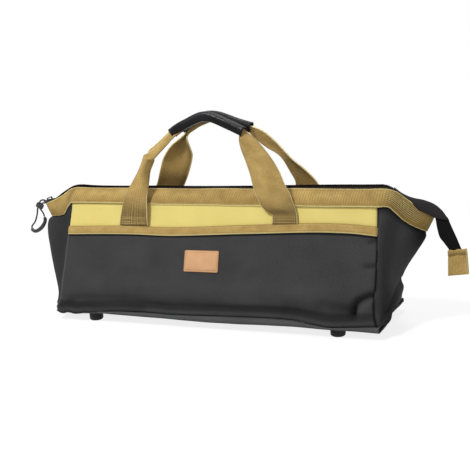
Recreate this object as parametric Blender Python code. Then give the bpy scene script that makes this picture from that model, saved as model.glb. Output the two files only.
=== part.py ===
"""Tent stake bag: a soft holdall with a zipped gable mouth, two sewn handles and four feet.

The bag stands on its feet at z = 0, its length runs along X and its front faces -Y.
"""
import math

import bmesh
import bpy
from mathutils import Vector

# Clearances and cloth
seam_gap = 0.0003
fabric_thickness = 0.0012
webbing_thickness = 0.0016
strap_thickness = 0.0018
zip_tape_thickness = 0.0008

# Walls, base and mouth
base_length = 0.430
base_depth = 0.137
mouth_length = 0.418
mouth_depth = 0.056
wall_height = 0.139
panel_seam_height = 0.1085
seam_tape_height = 0.1025
seam_tape_width = 0.0145
seam_tape_thickness = 0.001
band_width = 0.029
band_opening = 0.012

# Stiffener board, feet and their screws
board_thickness = 0.0025
board_inset = 0.004
foot_height = 0.012
foot_radius = 0.009
foot_edge_radius = 0.003
foot_inset_x = 0.05
foot_inset_y = 0.011
screw_radius = 0.002
screw_length = 0.013
screw_head_radius = 0.0042
screw_head_height = 0.002
washer_radius = 0.006
washer_thickness = 0.001
cutter_overrun = 0.002

# Wings: the folded ends of the mouth, past the walls
left_wing_reach = 0.057
left_wing_drop = 0.0235
left_wing_lean = 0.001
right_wing_reach = 0.051
right_wing_drop = 0.0355
right_wing_lean = 0.007
wing_tip_height = 0.0205
wing_tip_depth = 0.007
wing_corner_clearance = 0.0016
left_gusset_belly = 0.022
right_gusset_tuck = 0.006

# Zip
chain_width = 0.0052
chain_height = 0.0018
zip_edge_cover = 0.0005
wing_tip_tape_width = 0.008
zip_stop_length = 0.001
zip_end_margin = 0.001
tail_start_share = 0.56
tail_start_lift = 0.0035

# Slider and the ring of its pull
slider_length = 0.012
slider_width = 0.0092
slider_plate_thickness = 0.0015
bridge_length = 0.0085
bridge_height = 0.0036
bridge_bar = 0.0011
bridge_width = 0.0024
ring_radius = 0.005
ring_wire_radius = 0.0006

# Pull: cord, bead and moulded grip, placed from the base's centre
cord_diameter = 0.0022
bead_length = 0.0068
bead_width = 0.0108
bead_depth = 0.0062
bead_bore_width = 0.0070
bead_bore_depth = 0.0030
bead_centre = (-0.2810, 0.0, 0.1425)
bead_tilt_degrees = 30.0
pull_grip_radius = 0.0026
pull_grip_end_radius = 0.0018
pull_grip_knots = (
    (-0.2750, 0.0, 0.1264), (-0.2742, 0.0, 0.1218), (-0.2783, 0.0, 0.1146),
    (-0.2856, 0.0, 0.1084), (-0.2925, 0.0, 0.1058), (-0.2968, 0.0, 0.1071),
    (-0.2984, 0.0, 0.1102))
cord_route = (
    (-0.2751, 0.0, 0.1269), (-0.2755, 0.0, 0.1292), (-0.2768, 0.0, 0.1323),
    (-0.2793, 0.0, 0.1359), (-0.28097, 0.0, 0.13856), (-0.27757, 0.0, 0.14444),
    (-0.2768, 0.0, 0.1457), (-0.2754, 0.0, 0.1464), (-0.2738, 0.0, 0.1464),
    (-0.2723, 0.0, 0.1464), (-0.2709, 0.0, 0.1470), (-0.2703, 0.0, 0.1484),
    (-0.2709, 0.0, 0.1498), (-0.2723, 0.0, 0.1504), (-0.2750, 0.0, 0.1507),
    (-0.2778, 0.0, 0.1502), (-0.2799, 0.0, 0.1487), (-0.28103, 0.0, 0.14644),
    (-0.28443, 0.0, 0.14056), (-0.2856, 0.0, 0.1376), (-0.2866, 0.0, 0.1320),
    (-0.2888, 0.0, 0.1255), (-0.2922, 0.0, 0.1190), (-0.2957, 0.0, 0.1155),
    (-0.2978, 0.0, 0.1131), (-0.2984, 0.0, 0.1108))

# Tail: the zip's free end, folded over and hanging, with its webbing tab
tail_thickness = 0.0016
tail_reach = 0.0420
tail_fall = 0.0250
tail_forward = 0.0080
tail_drop = 0.0440
tail_fold_gap = 0.0009
tail_width = 0.0152
tail_shift = 0.0165
tab_width = 0.022
tab_height = 0.028
tab_thickness = 0.0046
tab_slot_depth = 0.012
tab_slot_room = 0.003
tab_tilt_degrees = 8.0

# Handles
handle_centre_x = -0.0095
handle_half_span = 0.102
handle_height = 0.1205
handle_gap = 0.0025
strap_width = 0.038
strap_root_height = 0.0155
strap_core_width = 0.010
strap_core_thickness = 0.006
grip_half_length = 0.047
grip_drop = 0.018
grip_width = 0.014
grip_thickness = 0.011

# Patch
patch_width = 0.047
patch_height = 0.027
patch_thickness = 0.0016
patch_corner_radius = 0.002
patch_centre_x = -0.010
patch_centre_height = 0.0705

# Shares of the sizes above that outlines follow
handle_knee_shares = ((0.0, 1.0), (0.24, 0.965), (0.58, 0.845))
strap_width_shares = (1.0, 0.96, 0.66)
tail_upper_shares = ((0.0, 0.0, 0.0), (0.22, 0.05, 0.15), (0.42, 0.12, 0.30),
                     (0.62, 0.26, 0.55), (0.80, 0.50, 0.80), (0.93, 0.78, 0.95), (1.0, 1.0, 1.0))
tail_lower_shares = ((0.0, 0.12, 0.10), (0.17, 0.30, 0.35), (0.30, 0.46, 0.60),
                     (0.43, 0.60, 0.85), (0.54, 0.72, 0.95), (0.61, 0.82, 1.0), (0.64, 0.89, 1.0))
tail_hang_shares = ((0.0, 0.0), (0.22, 0.13), (0.46, 0.35), (0.68, 0.62), (0.86, 0.88), (1.0, 1.0))
bead_shares = ((-1.0, 0.86), (-0.6, 1.0), (0.6, 1.0), (1.0, 0.86))
screw_head_shares = ((1.0, 0.4), (0.75, 0.85), (0.4, 1.0))
slider_bevel_rise_share = 0.6
slider_bevel_side_share = 0.4
bridge_shoulder_share = 0.7
wing_bulge_share = 0.25
wing_band_row_shares = (0.0, 0.5, 1.0)

# Counts
round_steps = 24
wire_steps = 8
section_steps = 16
wing_steps = 6
gusset_rows = 8
strap_steps = 5
cord_steps = 2
pull_grip_steps = 3
foot_edge_steps = 4
patch_corner_steps = 3
sharp_edge_degrees = 35.0

# Colours, roughness and metallic value of each look
looks = {
    "black_canvas": ((0.045, 0.046, 0.050, 1.0), 0.85, 0.0),
    "yellow_canvas": ((0.760, 0.620, 0.190, 1.0), 0.80, 0.0),
    "tan_webbing": ((0.440, 0.310, 0.095, 1.0), 0.75, 0.0),
    "zip_tape": ((0.050, 0.045, 0.042, 1.0), 0.80, 0.0),
    "zip_coil": ((0.030, 0.028, 0.026, 1.0), 0.45, 0.0),
    "leather": ((0.720, 0.400, 0.150, 1.0), 0.60, 0.0),
    "grip_vinyl": ((0.020, 0.020, 0.024, 1.0), 0.35, 0.0),
    "board": ((0.100, 0.100, 0.100, 1.0), 0.70, 0.0),
    "foot_rubber": ((0.018, 0.018, 0.018, 1.0), 0.50, 0.0),
    "steel": ((0.550, 0.550, 0.560, 1.0), 0.35, 1.0),
    "slider_metal": ((0.060, 0.060, 0.065, 1.0), 0.40, 1.0),
    "cord": ((0.025, 0.025, 0.027, 1.0), 0.80, 0.0),
    "pull_plastic": ((0.020, 0.020, 0.022, 1.0), 0.45, 0.0),
}

# Levels and angles that follow from the sizes
base_half = base_length / 2
mouth_half = mouth_length / 2
base_top = foot_height + fabric_thickness
wall_foot = base_top + seam_gap
wall_lean = math.asin((base_depth - mouth_depth) / 2 / wall_height)
wall_top = wall_foot + wall_height * math.cos(wall_lean)
band_bottom = wall_top + seam_gap
band_run = (mouth_depth - band_opening) / 2
band_rise = math.sqrt(band_width ** 2 - band_run ** 2)
band_top = band_bottom + band_rise
zip_tape_bottom = band_top + seam_gap
zip_tape_top = zip_tape_bottom + zip_tape_thickness
chain_bottom = zip_tape_top + seam_gap
zip_half_width = band_opening / 2 + zip_edge_cover
root_bottom_height = seam_tape_height + seam_tape_width + seam_gap
root_top_height = root_bottom_height + strap_root_height

frames = {}


def clear_scene():
    for old in list(bpy.data.objects):
        bpy.data.objects.remove(old, do_unlink=True)


def add_frame(name, parent_name, place):
    """Empty that carries the pieces of one moving body, on its joint's axis."""
    empty = bpy.data.objects.new(name, None)
    bpy.context.scene.collection.objects.link(empty)
    if parent_name:
        parent, parent_place = frames[parent_name]
        empty.parent = parent
        empty.location = place - parent_place
    frames[name] = (empty, place)
    return empty


def look_material(look):
    """Principled material of one look, made once."""
    made = bpy.data.materials.get(look)
    if made:
        return made
    colour, roughness, metallic = looks[look]
    made = bpy.data.materials.new(look)
    made.use_nodes = True
    made.diffuse_color = colour
    shader = made.node_tree.nodes["Principled BSDF"]
    shader.inputs["Base Color"].default_value = colour
    shader.inputs["Roughness"].default_value = roughness
    shader.inputs["Metallic"].default_value = metallic
    return made


def add_piece(name, body, look, points, faces, smooth=False):
    """Closed mesh object of one piece, held by the frame of its body."""
    parent, place = frames[body]
    mesh = bpy.data.meshes.new(name)
    made = bmesh.new()
    corners = [made.verts.new(Vector(point) - place) for point in points]
    for face in faces:
        made.faces.new([corners[index] for index in face])
    bmesh.ops.recalc_face_normals(made, faces=made.faces)
    made.to_mesh(mesh)
    made.free()
    if smooth:
        mesh.shade_smooth()
        mesh.set_sharp_from_angle(angle=math.radians(sharp_edge_degrees))
    piece = bpy.data.objects.new(name, mesh)
    bpy.context.scene.collection.objects.link(piece)
    piece.parent = parent
    mesh.materials.append(look_material(look))
    return piece


def mix(first, second, share):
    return first + (second - first) * share


def two_faced(outer, inner):
    """Points and faces of a closed sheet between two grids of points."""
    rows = len(outer)
    columns = len(outer[0])
    size = rows * columns
    points = [point for row in outer for point in row]
    points += [point for row in inner for point in row]
    faces = []
    for row in range(rows - 1):
        for column in range(columns - 1):
            corner = row * columns + column
            quad = (corner, corner + 1, corner + columns + 1, corner + columns)
            faces.append(quad)
            faces.append(tuple(size + index for index in reversed(quad)))
    border = [column for column in range(columns)]
    border += [row * columns + columns - 1 for row in range(1, rows)]
    border += [(rows - 1) * columns + column for column in reversed(range(columns - 1))]
    border += [row * columns for row in reversed(range(1, rows - 1))]
    for index, corner in enumerate(border):
        following = border[(index + 1) % len(border)]
        faces.append((following, corner, size + corner, size + following))
    return points, faces


def grid_normal(rows, row, column):
    """Unit normal of a grid of points, out of the side that its rows run round."""
    left = rows[row][max(column - 1, 0)]
    right = rows[row][min(column + 1, len(rows[row]) - 1)]
    low = rows[max(row - 1, 0)][column]
    high = rows[min(row + 1, len(rows) - 1)][column]
    return (right - left).cross(high - low).normalized()


def level_inner_rows(rows, thickness):
    """Inner face of a standing sheet: each point moves level, square to its row in plan."""
    inner = []
    for row_index, row in enumerate(rows):
        moved = []
        for column, point in enumerate(row):
            along = row[min(column + 1, len(row) - 1)] - row[max(column - 1, 0)]
            inward = Vector((-along.y, along.x, 0)).normalized()
            facing = abs(grid_normal(rows, row_index, column).dot(inward))
            moved.append(point + inward * (thickness / facing))
        inner.append(moved)
    return inner


def add_standing_sheet(name, body, look, rows, thickness, smooth=False):
    points, faces = two_faced(rows, level_inner_rows(rows, thickness))
    return add_piece(name, body, look, points, faces, smooth)


def add_prism(name, body, look, outline, along):
    """Flat outline carried along one vector."""
    count = len(outline)
    points = list(outline) + [point + along for point in outline]
    faces = [tuple(range(count)), tuple(reversed(range(count, 2 * count)))]
    for index in range(count):
        following = (index + 1) % count
        faces.append((index, following, count + following, count + index))
    return add_piece(name, body, look, points, faces)


def loft_faces(sections, section_size, closed):
    """Side faces between loops of points that follow one another."""
    faces = []
    spans = sections if closed else sections - 1
    for section in range(spans):
        following = (section + 1) % sections
        for step in range(section_size):
            turn = (step + 1) % section_size
            faces.append((section * section_size + step, section * section_size + turn,
                          following * section_size + turn, following * section_size + step))
    return faces


def add_loft(name, body, look, loops):
    """Solid through a row of loops, closed by a flat face at each end."""
    size = len(loops[0])
    points = [point for loop in loops for point in loop]
    faces = loft_faces(len(loops), size, False)
    faces.append(tuple(range(size)))
    faces.append(tuple(reversed(range((len(loops) - 1) * size, len(loops) * size))))
    return add_piece(name, body, look, points, faces, smooth=True)


def add_sleeve(name, body, look, outer_loops, inner_loops):
    """Tube with a wall: the loops run out along the outside and back along the bore."""
    loops = outer_loops + list(reversed(inner_loops))
    points = [point for loop in loops for point in loop]
    faces = loft_faces(len(loops), len(loops[0]), True)
    return add_piece(name, body, look, points, faces, smooth=True)


def add_turned(name, body, look, profile, centre):
    """Turned solid: the profile runs from the axis, or a bore, round to where it began."""
    loops = []
    for radius, level in profile:
        loop = []
        for step in range(round_steps):
            angle = math.tau * step / round_steps
            arm = Vector((math.cos(angle), math.sin(angle), 0))
            loop.append(centre + arm * radius + Vector((0, 0, level)))
        loops.append(loop)
    points = [point for loop in loops for point in loop]
    bored = profile[0] == profile[-1]
    if bored:
        points = points[:-round_steps]
        return add_piece(name, body, look, points,
                         loft_faces(len(loops) - 1, round_steps, True), smooth=True)
    faces = loft_faces(len(loops), round_steps, False)
    faces.append(tuple(range(round_steps)))
    faces.append(tuple(reversed(range(len(points) - round_steps, len(points)))))
    return add_piece(name, body, look, points, faces, smooth=True)


def rounded_section(centre, across, through, width, depth):
    """Loop of a flattened section with soft corners, between a rectangle and an ellipse."""
    loop = []
    for step in range(section_steps):
        angle = math.tau * (step + 0.5) / section_steps
        wide = math.copysign(math.sqrt(abs(math.cos(angle))), math.cos(angle))
        deep = math.copysign(math.sqrt(abs(math.sin(angle))), math.sin(angle))
        loop.append(centre + across * (wide * width / 2) + through * (deep * depth / 2))
    return loop


def smooth_path(knots, steps):
    """Points of a smooth curve through the knots, the same number of steps in each stretch."""
    path = []
    for index in range(len(knots) - 1):
        before = knots[max(index - 1, 0)]
        start = knots[index]
        end = knots[index + 1]
        after = knots[min(index + 2, len(knots) - 1)]
        for step in range(steps):
            share = step / steps
            bend_in = (end - before) / 2
            bend_out = (after - start) / 2
            square = share ** 2
            cube = share ** 3
            path.append(start * (2 * cube - 3 * square + 1) + bend_in * (cube - 2 * square + share)
                        + end * (3 * square - 2 * cube) + bend_out * (cube - square))
    path.append(knots[-1])
    return path


def wall_half_depth(level):
    """Distance of a wall's outer face from the middle of the bag, at one level."""
    return base_depth / 2 - (level - wall_foot) * math.tan(wall_lean)


def wall_half_length(height):
    return mix(base_half, mouth_half, height / wall_height)


def on_wall(side, x, height, lift=0.0):
    """Point on a wall's outer face; side is -1 at the front and 1 at the rear."""
    out = base_depth / 2 - height * math.sin(wall_lean) + lift * math.cos(wall_lean)
    level = wall_foot + height * math.cos(wall_lean) + lift * math.sin(wall_lean)
    return Vector((x, side * out, level))


def wall_normal(side):
    return Vector((0, side * math.cos(wall_lean), math.sin(wall_lean)))


def wing_size(side):
    """Reach, drop and lean of the wing at one end; side is -1 at the left and 1 at the right."""
    if side < 0:
        return left_wing_reach, left_wing_drop, left_wing_lean
    return right_wing_reach, right_wing_drop, right_wing_lean


def wing_tip(side):
    """Lower and upper end of the wing's tip, in the bag's middle plane."""
    reach, drop, lean = wing_size(side)
    low = Vector((side * (mouth_half + reach), 0, wall_top - drop))
    high = low + Vector((side * lean, 0, wing_tip_height))
    return low, high


def ring_round(side, front, rear, tip):
    """Points from one wall round the wing's tip to the other, walking the bag anticlockwise."""
    halves = [mix(front, tip - Vector((0, wing_tip_depth / 2, 0)), step / wing_steps)
              for step in range(wing_steps + 1)]
    others = [mix(tip + Vector((0, wing_tip_depth / 2, 0)), rear, step / wing_steps)
              for step in range(wing_steps + 1)]
    bulge = tip + Vector((side * wing_tip_depth * wing_bulge_share, 0, 0))
    row = halves + [bulge] + others
    return row if side > 0 else list(reversed(row))


def build_base():
    half_depth = base_depth / 2
    corners = ((-1, -1), (1, -1), (1, 1), (-1, 1))
    underside = [Vector((x * base_half, y * half_depth, foot_height)) for x, y in corners]
    panel = add_prism("base_panel", "shell", "black_canvas", underside,
                      Vector((0, 0, fabric_thickness)))
    board_bottom = base_top + seam_gap
    board_corners = [Vector((x * (base_half - board_inset), y * (half_depth - board_inset),
                             board_bottom)) for x, y in corners]
    board = add_prism("base_board", "shell", "board", board_corners,
                      Vector((0, 0, board_thickness)))
    for x, y in corners:
        place = Vector((x * (base_half - foot_inset_x), y * (half_depth - foot_inset_y), 0))
        label = ("front" if y < 0 else "rear") + ("_left" if x < 0 else "_right")
        build_foot(label, place, board_bottom + board_thickness)
        cutter = hole_cutter(label, place)
        for cut_piece in (panel, board):
            cut = cut_piece.modifiers.new("screw_hole_" + label, "BOOLEAN")
            cut.operation = "DIFFERENCE"
            cut.solver = "EXACT"
            cut.object = cutter


def hole_cutter(label, place):
    radius = screw_radius + seam_gap
    low = foot_height - cutter_overrun
    high = base_top + seam_gap + board_thickness + cutter_overrun
    cutter = add_turned("screw_hole_cutter_" + label, "shell", "board",
                        ((radius, low), (radius, high)), place)
    cutter.hide_render = True
    cutter.display_type = "WIRE"
    return cutter


def build_foot(label, place, board_top):
    """Rubber foot under the base, with its washer and its screw from inside the bag."""
    foot_top = foot_height - seam_gap
    washer_bottom = board_top + seam_gap
    head_bottom = washer_bottom + washer_thickness + seam_gap
    screw_end = head_bottom - screw_length
    bore = screw_radius + seam_gap
    edge = []
    for step in range(foot_edge_steps + 1):
        turn = math.pi / 2 * step / foot_edge_steps
        edge.append((foot_radius - foot_edge_radius * (1 - math.sin(turn)),
                     foot_edge_radius * (1 - math.cos(turn))))
    profile = [(bore, screw_end - seam_gap), (bore, foot_top), (foot_radius, foot_top)]
    profile += list(reversed(edge))
    add_turned("foot_" + label, "shell", "foot_rubber", profile, place)
    add_turned("foot_washer_" + label, "shell", "steel",
               ((bore, washer_bottom), (bore, washer_bottom + washer_thickness),
                (washer_radius, washer_bottom + washer_thickness), (washer_radius, washer_bottom),
                (bore, washer_bottom)), place)
    screw = [(screw_radius, screw_end), (screw_radius, head_bottom),
             (screw_head_radius, head_bottom)]
    screw += [(screw_head_radius * radius, head_bottom + screw_head_height * rise)
              for radius, rise in screw_head_shares]
    add_turned("foot_screw_" + label, "shell", "steel", screw, place)


def wall_rows(side, low_height, high_height):
    """Lower and upper edge of a wall panel, walking the bag anticlockwise."""
    rows = []
    for height in (low_height, high_height):
        half = wall_half_length(height)
        row = [on_wall(side, -half, height), on_wall(side, half, height)]
        rows.append(row if side < 0 else list(reversed(row)))
    return rows


def wall_plate(name, body, look, side, edges, thickness, lift=seam_gap):
    """Flat piece that lies on a wall's outer face; edges are (x, height) corners."""
    outline = [on_wall(side, x, height, lift) for x, height in edges]
    return add_prism(name, body, look, outline, wall_normal(side) * thickness)


def build_wall(label, side):
    """One long wall: lower and upper panel, tape over their seam, mouth band and zip half."""
    body = label + "_wall"
    seam_low = panel_seam_height - seam_gap
    add_standing_sheet(label + "_lower_panel", body, "black_canvas",
                       wall_rows(side, 0, seam_low), fabric_thickness)
    add_standing_sheet(label + "_upper_panel", body, "yellow_canvas",
                       wall_rows(side, panel_seam_height, wall_height), fabric_thickness)
    tape_top = seam_tape_height + seam_tape_width
    low_half = wall_half_length(seam_tape_height)
    high_half = wall_half_length(tape_top)
    wall_plate(label + "_seam_tape", body, "tan_webbing", side,
               ((-low_half, seam_tape_height), (low_half, seam_tape_height),
                (high_half, tape_top), (-high_half, tape_top)), seam_tape_thickness)
    for end, x_side in (("left", -1), ("right", 1)):
        centre = handle_centre_x + x_side * handle_half_span
        edges = [(centre + corner * strap_width / 2, height)
                 for corner, height in ((-1, root_bottom_height), (1, root_bottom_height),
                                        (1, root_top_height), (-1, root_top_height))]
        wall_plate(label + "_strap_root_" + end, body, "tan_webbing", side, edges,
                   strap_thickness)
    rows = []
    for share in (0, 1):
        out = side * mix(mouth_depth / 2, band_opening / 2, share)
        level = mix(band_bottom, band_top, share)
        row = [Vector((-mouth_half, out, level)), Vector((mouth_half, out, level))]
        rows.append(row if side < 0 else list(reversed(row)))
    add_standing_sheet(label + "_mouth_band", body, "tan_webbing", rows, webbing_thickness)
    add_zip_bar("zip_tape_" + label, body, "zip_tape", side, zip_half_width,
                zip_tape_bottom, zip_tape_thickness)
    add_zip_bar("zip_chain_" + label, body, "zip_coil", side, chain_width / 2,
                chain_bottom, chain_height)


def add_zip_bar(name, body, look, side, half_width, bottom, height):
    """One half of the straight zip, from the middle line out."""
    middle = side * seam_gap / 2
    edge = side * half_width
    outline = [Vector((-mouth_half, middle, bottom)), Vector((mouth_half, middle, bottom)),
               Vector((mouth_half, edge, bottom)), Vector((-mouth_half, edge, bottom))]
    return add_prism(name, body, look, outline, Vector((0, 0, height)))


def build_patch():
    """Blank leather patch with rounded corners, sewn to the front lower panel."""
    edges = []
    for x_side, z_side, start in ((1, 1, 0), (-1, 1, 1), (-1, -1, 2), (1, -1, 3)):
        for step in range(patch_corner_steps + 1):
            angle = math.pi / 2 * (start + step / patch_corner_steps)
            x = patch_centre_x + x_side * (patch_width / 2 - patch_corner_radius)
            height = patch_centre_height + z_side * (patch_height / 2 - patch_corner_radius)
            edges.append((x + patch_corner_radius * math.cos(angle),
                          height + patch_corner_radius * math.sin(angle)))
    wall_plate("leather_patch", "front_wall", "leather", -1, edges, patch_thickness)


def build_gusset(label, side):
    """End panel: square at the base, folded outward in half at the top."""
    low_tip, high_tip = wing_tip(side)
    inset = (fabric_thickness + seam_gap) / math.cos(wall_lean)
    fold_foot = Vector((side * base_half, 0, wall_foot))
    belly = left_gusset_belly if side < 0 else -right_gusset_tuck
    rows = []
    for row_index in range(gusset_rows + 1):
        share = row_index / gusset_rows
        level = mix(wall_foot, wall_top, share)
        half = wall_half_depth(level) - inset
        end = mix(base_half, mouth_half, share)
        front = Vector((side * end, -half, level))
        rear = Vector((side * end, half, level))
        tip = mix(fold_foot, low_tip, share)
        tip.x += side * belly * math.sin(math.pi * share)
        rows.append(ring_round(side, front, rear, tip))
    add_standing_sheet("gusset_" + label, "shell", "black_canvas", rows, fabric_thickness, True)


def build_wing_band(label, side):
    """Webbing round the folded end of the mouth, above the gusset's top edge."""
    low_tip, high_tip = wing_tip(side)
    lift = Vector((0, 0, seam_gap))
    inset = (fabric_thickness + seam_gap) / math.cos(wall_lean)
    out_low = mouth_depth / 2 - inset
    out_high = band_opening / 2
    x = side * mouth_half
    low = ring_round(side, Vector((x, -out_low, wall_top)) + lift,
                     Vector((x, out_low, wall_top)) + lift, low_tip + lift)
    high = ring_round(side, Vector((x, -out_high, band_top)), Vector((x, out_high, band_top)),
                      high_tip)
    start = side * (mouth_half + wing_corner_clearance)
    for row in (low, high):
        for end, inner in ((0, 1), (-1, -2)):
            share = (start - row[end].x) / (row[inner].x - row[end].x)
            row[end] = mix(row[end], row[inner], share)
    rows = [[mix(below, above, share) for below, above in zip(low, high)]
            for share in wing_band_row_shares]
    add_standing_sheet("wing_band_" + label, "shell", "tan_webbing", rows, webbing_thickness, True)


def zip_line(side):
    """Start, direction and upward normal of the zip on one wing, along its tape's underside."""
    low_tip, high_tip = wing_tip(side)
    start = Vector((side * (mouth_half + seam_gap), 0, zip_tape_bottom))
    end = high_tip + Vector((side * wing_tip_depth * wing_bulge_share, 0, seam_gap))
    if side > 0:
        end = mix(start, end, tail_start_share) + Vector((0, 0, tail_start_lift))
    along = (end - start).normalized()
    up = Vector((-along.z, 0, along.x)) * side
    return start, end, along, up


def add_wing_strip(name, look, side, reach, lift, thickness, widths):
    """Flat strip on a wing's zip line, from the ridge to a reach along it."""
    start, end, along, up = zip_line(side)
    near = start + up * lift
    near.x = start.x + side * seam_gap
    far = start + along * reach + up * lift
    outline = [near - Vector((0, widths[0] / 2, 0)), far - Vector((0, widths[1] / 2, 0)),
               far + Vector((0, widths[1] / 2, 0)), near + Vector((0, widths[0] / 2, 0))]
    return add_prism(name, "shell", look, outline, up * thickness)


def build_wing_zip(label, side):
    """Zip tape and closed chain on one wing."""
    start, end, along, up = zip_line(side)
    reach = (end - start).length
    chain_reach = reach - seam_gap
    if side < 0:
        chain_reach -= zip_stop_length + zip_end_margin
    widths = (2 * zip_half_width, wing_tip_tape_width)
    add_wing_strip("wing_zip_tape_" + label, "zip_tape", side, reach, 0,
                   zip_tape_thickness, widths)
    add_wing_strip("wing_zip_chain_" + label, "zip_coil", side, chain_reach,
                   zip_tape_thickness + seam_gap, chain_height, (chain_width, chain_width))


def build_zip_stop():
    """Stop at the closed end of the zip, past the last tooth of the chain."""
    start, end, along, up = zip_line(-1)
    far = end - along * zip_end_margin + up * (zip_tape_thickness + seam_gap)
    near = far - along * zip_stop_length
    half = Vector((0, chain_width / 2, 0))
    add_prism("zip_end_stop", "shell", "slider_metal",
              [near - half, far - half, far + half, near + half], up * chain_height)


def slider_place():
    """Lower end of the slider on the left wing, on the tape's top face, and its two directions."""
    start, end, along, up = zip_line(-1)
    uphill = -along
    past_stop = zip_end_margin + zip_stop_length + seam_gap
    low_end = end + up * zip_tape_thickness + uphill * past_stop
    return low_end, uphill, up


def build_slider():
    """Slider over the chain, and the bridge that holds the pull's ring."""
    low_end, uphill, up = slider_place()
    channel_half = chain_width / 2 + seam_gap
    channel_top = 2 * seam_gap + chain_height
    plate_top = channel_top + slider_plate_thickness
    half = slider_width / 2
    shoulder = mix(channel_top, plate_top, slider_bevel_rise_share)
    top_half = mix(channel_half, half, slider_bevel_side_share)
    section = ((-half, seam_gap), (-channel_half, seam_gap), (-channel_half, channel_top),
               (channel_half, channel_top), (channel_half, seam_gap), (half, seam_gap),
               (half, shoulder), (top_half, plate_top), (-top_half, plate_top),
               (-half, shoulder))
    outline = [low_end + Vector((0, y, 0)) + up * level for y, level in section]
    add_prism("slider_body", "zip_slider", "slider_metal", outline, uphill * slider_length)
    first = (slider_length - bridge_length) / 2
    last = first + bridge_length
    low = plate_top + seam_gap
    arch_top = low + bridge_height
    arch_shoulder = mix(low, arch_top, bridge_shoulder_share)
    profile = ((first, low), (first, arch_shoulder), (first + bridge_bar, arch_top),
               (last - bridge_bar, arch_top), (last, arch_shoulder), (last, low),
               (last - bridge_bar, low), (last - bridge_bar, arch_top - bridge_bar),
               (first + bridge_bar, arch_top - bridge_bar), (first + bridge_bar, low))
    outline = [low_end + uphill * run + up * level - Vector((0, bridge_width / 2, 0))
               for run, level in profile]
    add_prism("slider_bridge", "zip_slider", "slider_metal", outline, Vector((0, bridge_width, 0)))


def ring_hinge():
    """Middle of the ring's bar under the bridge, which the pull swings on."""
    low_end, uphill, up = slider_place()
    run = slider_length / 2
    level = 3 * seam_gap + chain_height + slider_plate_thickness + ring_wire_radius
    return low_end + uphill * run + up * level, uphill, up


def ring_end():
    """Middle of the ring's wire at its free end, which the cord's loop swings on."""
    hinge, uphill, up = ring_hinge()
    return hinge - uphill * (2 * ring_radius)


def build_pull_ring():
    hinge, uphill, up = ring_hinge()
    centre = hinge - uphill * ring_radius
    loops = []
    for step in range(round_steps):
        angle = math.tau * step / round_steps
        out = uphill * math.cos(angle) + Vector((0, math.sin(angle), 0))
        loop = []
        for turn in range(wire_steps):
            tilt = math.tau * turn / wire_steps
            reach = out * (ring_radius + ring_wire_radius * math.cos(tilt))
            loop.append(centre + reach + up * (ring_wire_radius * math.sin(tilt)))
        loops.append(loop)
    points = [point for loop in loops for point in loop]
    add_piece("pull_ring", "zip_ring", "slider_metal", points,
              loft_faces(round_steps, wire_steps, True), smooth=True)


def build_pull_cord():
    """Loop of cord from one end of the pull's grip, round the ring and back to its other end."""
    parent, place = frames["zip_pull"]
    curve = bpy.data.curves.new("pull_cord", "CURVE")
    curve.dimensions = "3D"
    curve.bevel_depth = cord_diameter / 2
    curve.bevel_resolution = 2
    curve.use_fill_caps = True
    path = smooth_path([Vector(point) for point in cord_route], cord_steps)
    spline = curve.splines.new("POLY")
    spline.points.add(len(path) - 1)
    for spot, point in zip(spline.points, path):
        spot.co = (*(point - place), 1.0)
    cord = bpy.data.objects.new("pull_cord", curve)
    bpy.context.scene.collection.objects.link(cord)
    cord.parent = parent
    curve.materials.append(look_material("cord"))


def build_pull_bead():
    """Bead that both strands of the cord run through."""
    tilt = math.radians(bead_tilt_degrees)
    along = Vector((math.sin(tilt), 0, math.cos(tilt)))
    across = Vector((-math.cos(tilt), 0, math.sin(tilt)))
    through = Vector((0, 1, 0))
    outer = []
    bore = []
    for reach, fullness in bead_shares:
        centre = Vector(bead_centre) + along * (bead_length / 2 * reach)
        outer.append(rounded_section(centre, across, through, bead_width * fullness,
                                     bead_depth * fullness))
        bore.append(rounded_section(centre, across, through, bead_bore_width, bead_bore_depth))
    add_sleeve("pull_bead", "zip_pull", "cord", outer, bore)


def build_pull_grip():
    """Moulded crescent that holds both ends of the cord."""
    path = smooth_path([Vector(knot) for knot in pull_grip_knots], pull_grip_steps)
    loops = []
    for index, point in enumerate(path):
        ahead = path[min(index + 1, len(path) - 1)] - path[max(index - 1, 0)]
        ahead.normalize()
        across = Vector((ahead.z, 0, -ahead.x))
        share = math.sqrt(max(math.sin(math.pi * index / (len(path) - 1)), 0))
        radius = mix(pull_grip_end_radius, pull_grip_radius, share)
        loop = []
        for turn in range(wire_steps):
            tilt = math.tau * turn / wire_steps
            arm = across * math.cos(tilt) + Vector((0, math.sin(tilt), 0))
            loop.append(point + arm * radius)
        loops.append(loop)
    add_loft("pull_grip", "zip_pull", "pull_plastic", loops)


def handle_axes(side):
    """Up along a handle's plane, out of its outer face, and its hinge point."""
    hinge = on_wall(side, handle_centre_x, root_top_height + seam_gap / 2,
                    seam_gap + strap_thickness)
    grip_out = (grip_thickness + handle_gap) / 2
    lean = math.asin((abs(hinge.y) - strap_thickness / 2 - grip_out) / handle_height)
    up = Vector((0, -side * math.sin(lean), math.cos(lean)))
    out = Vector((0, side * math.cos(lean), math.sin(lean)))
    return hinge, up, out


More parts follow.
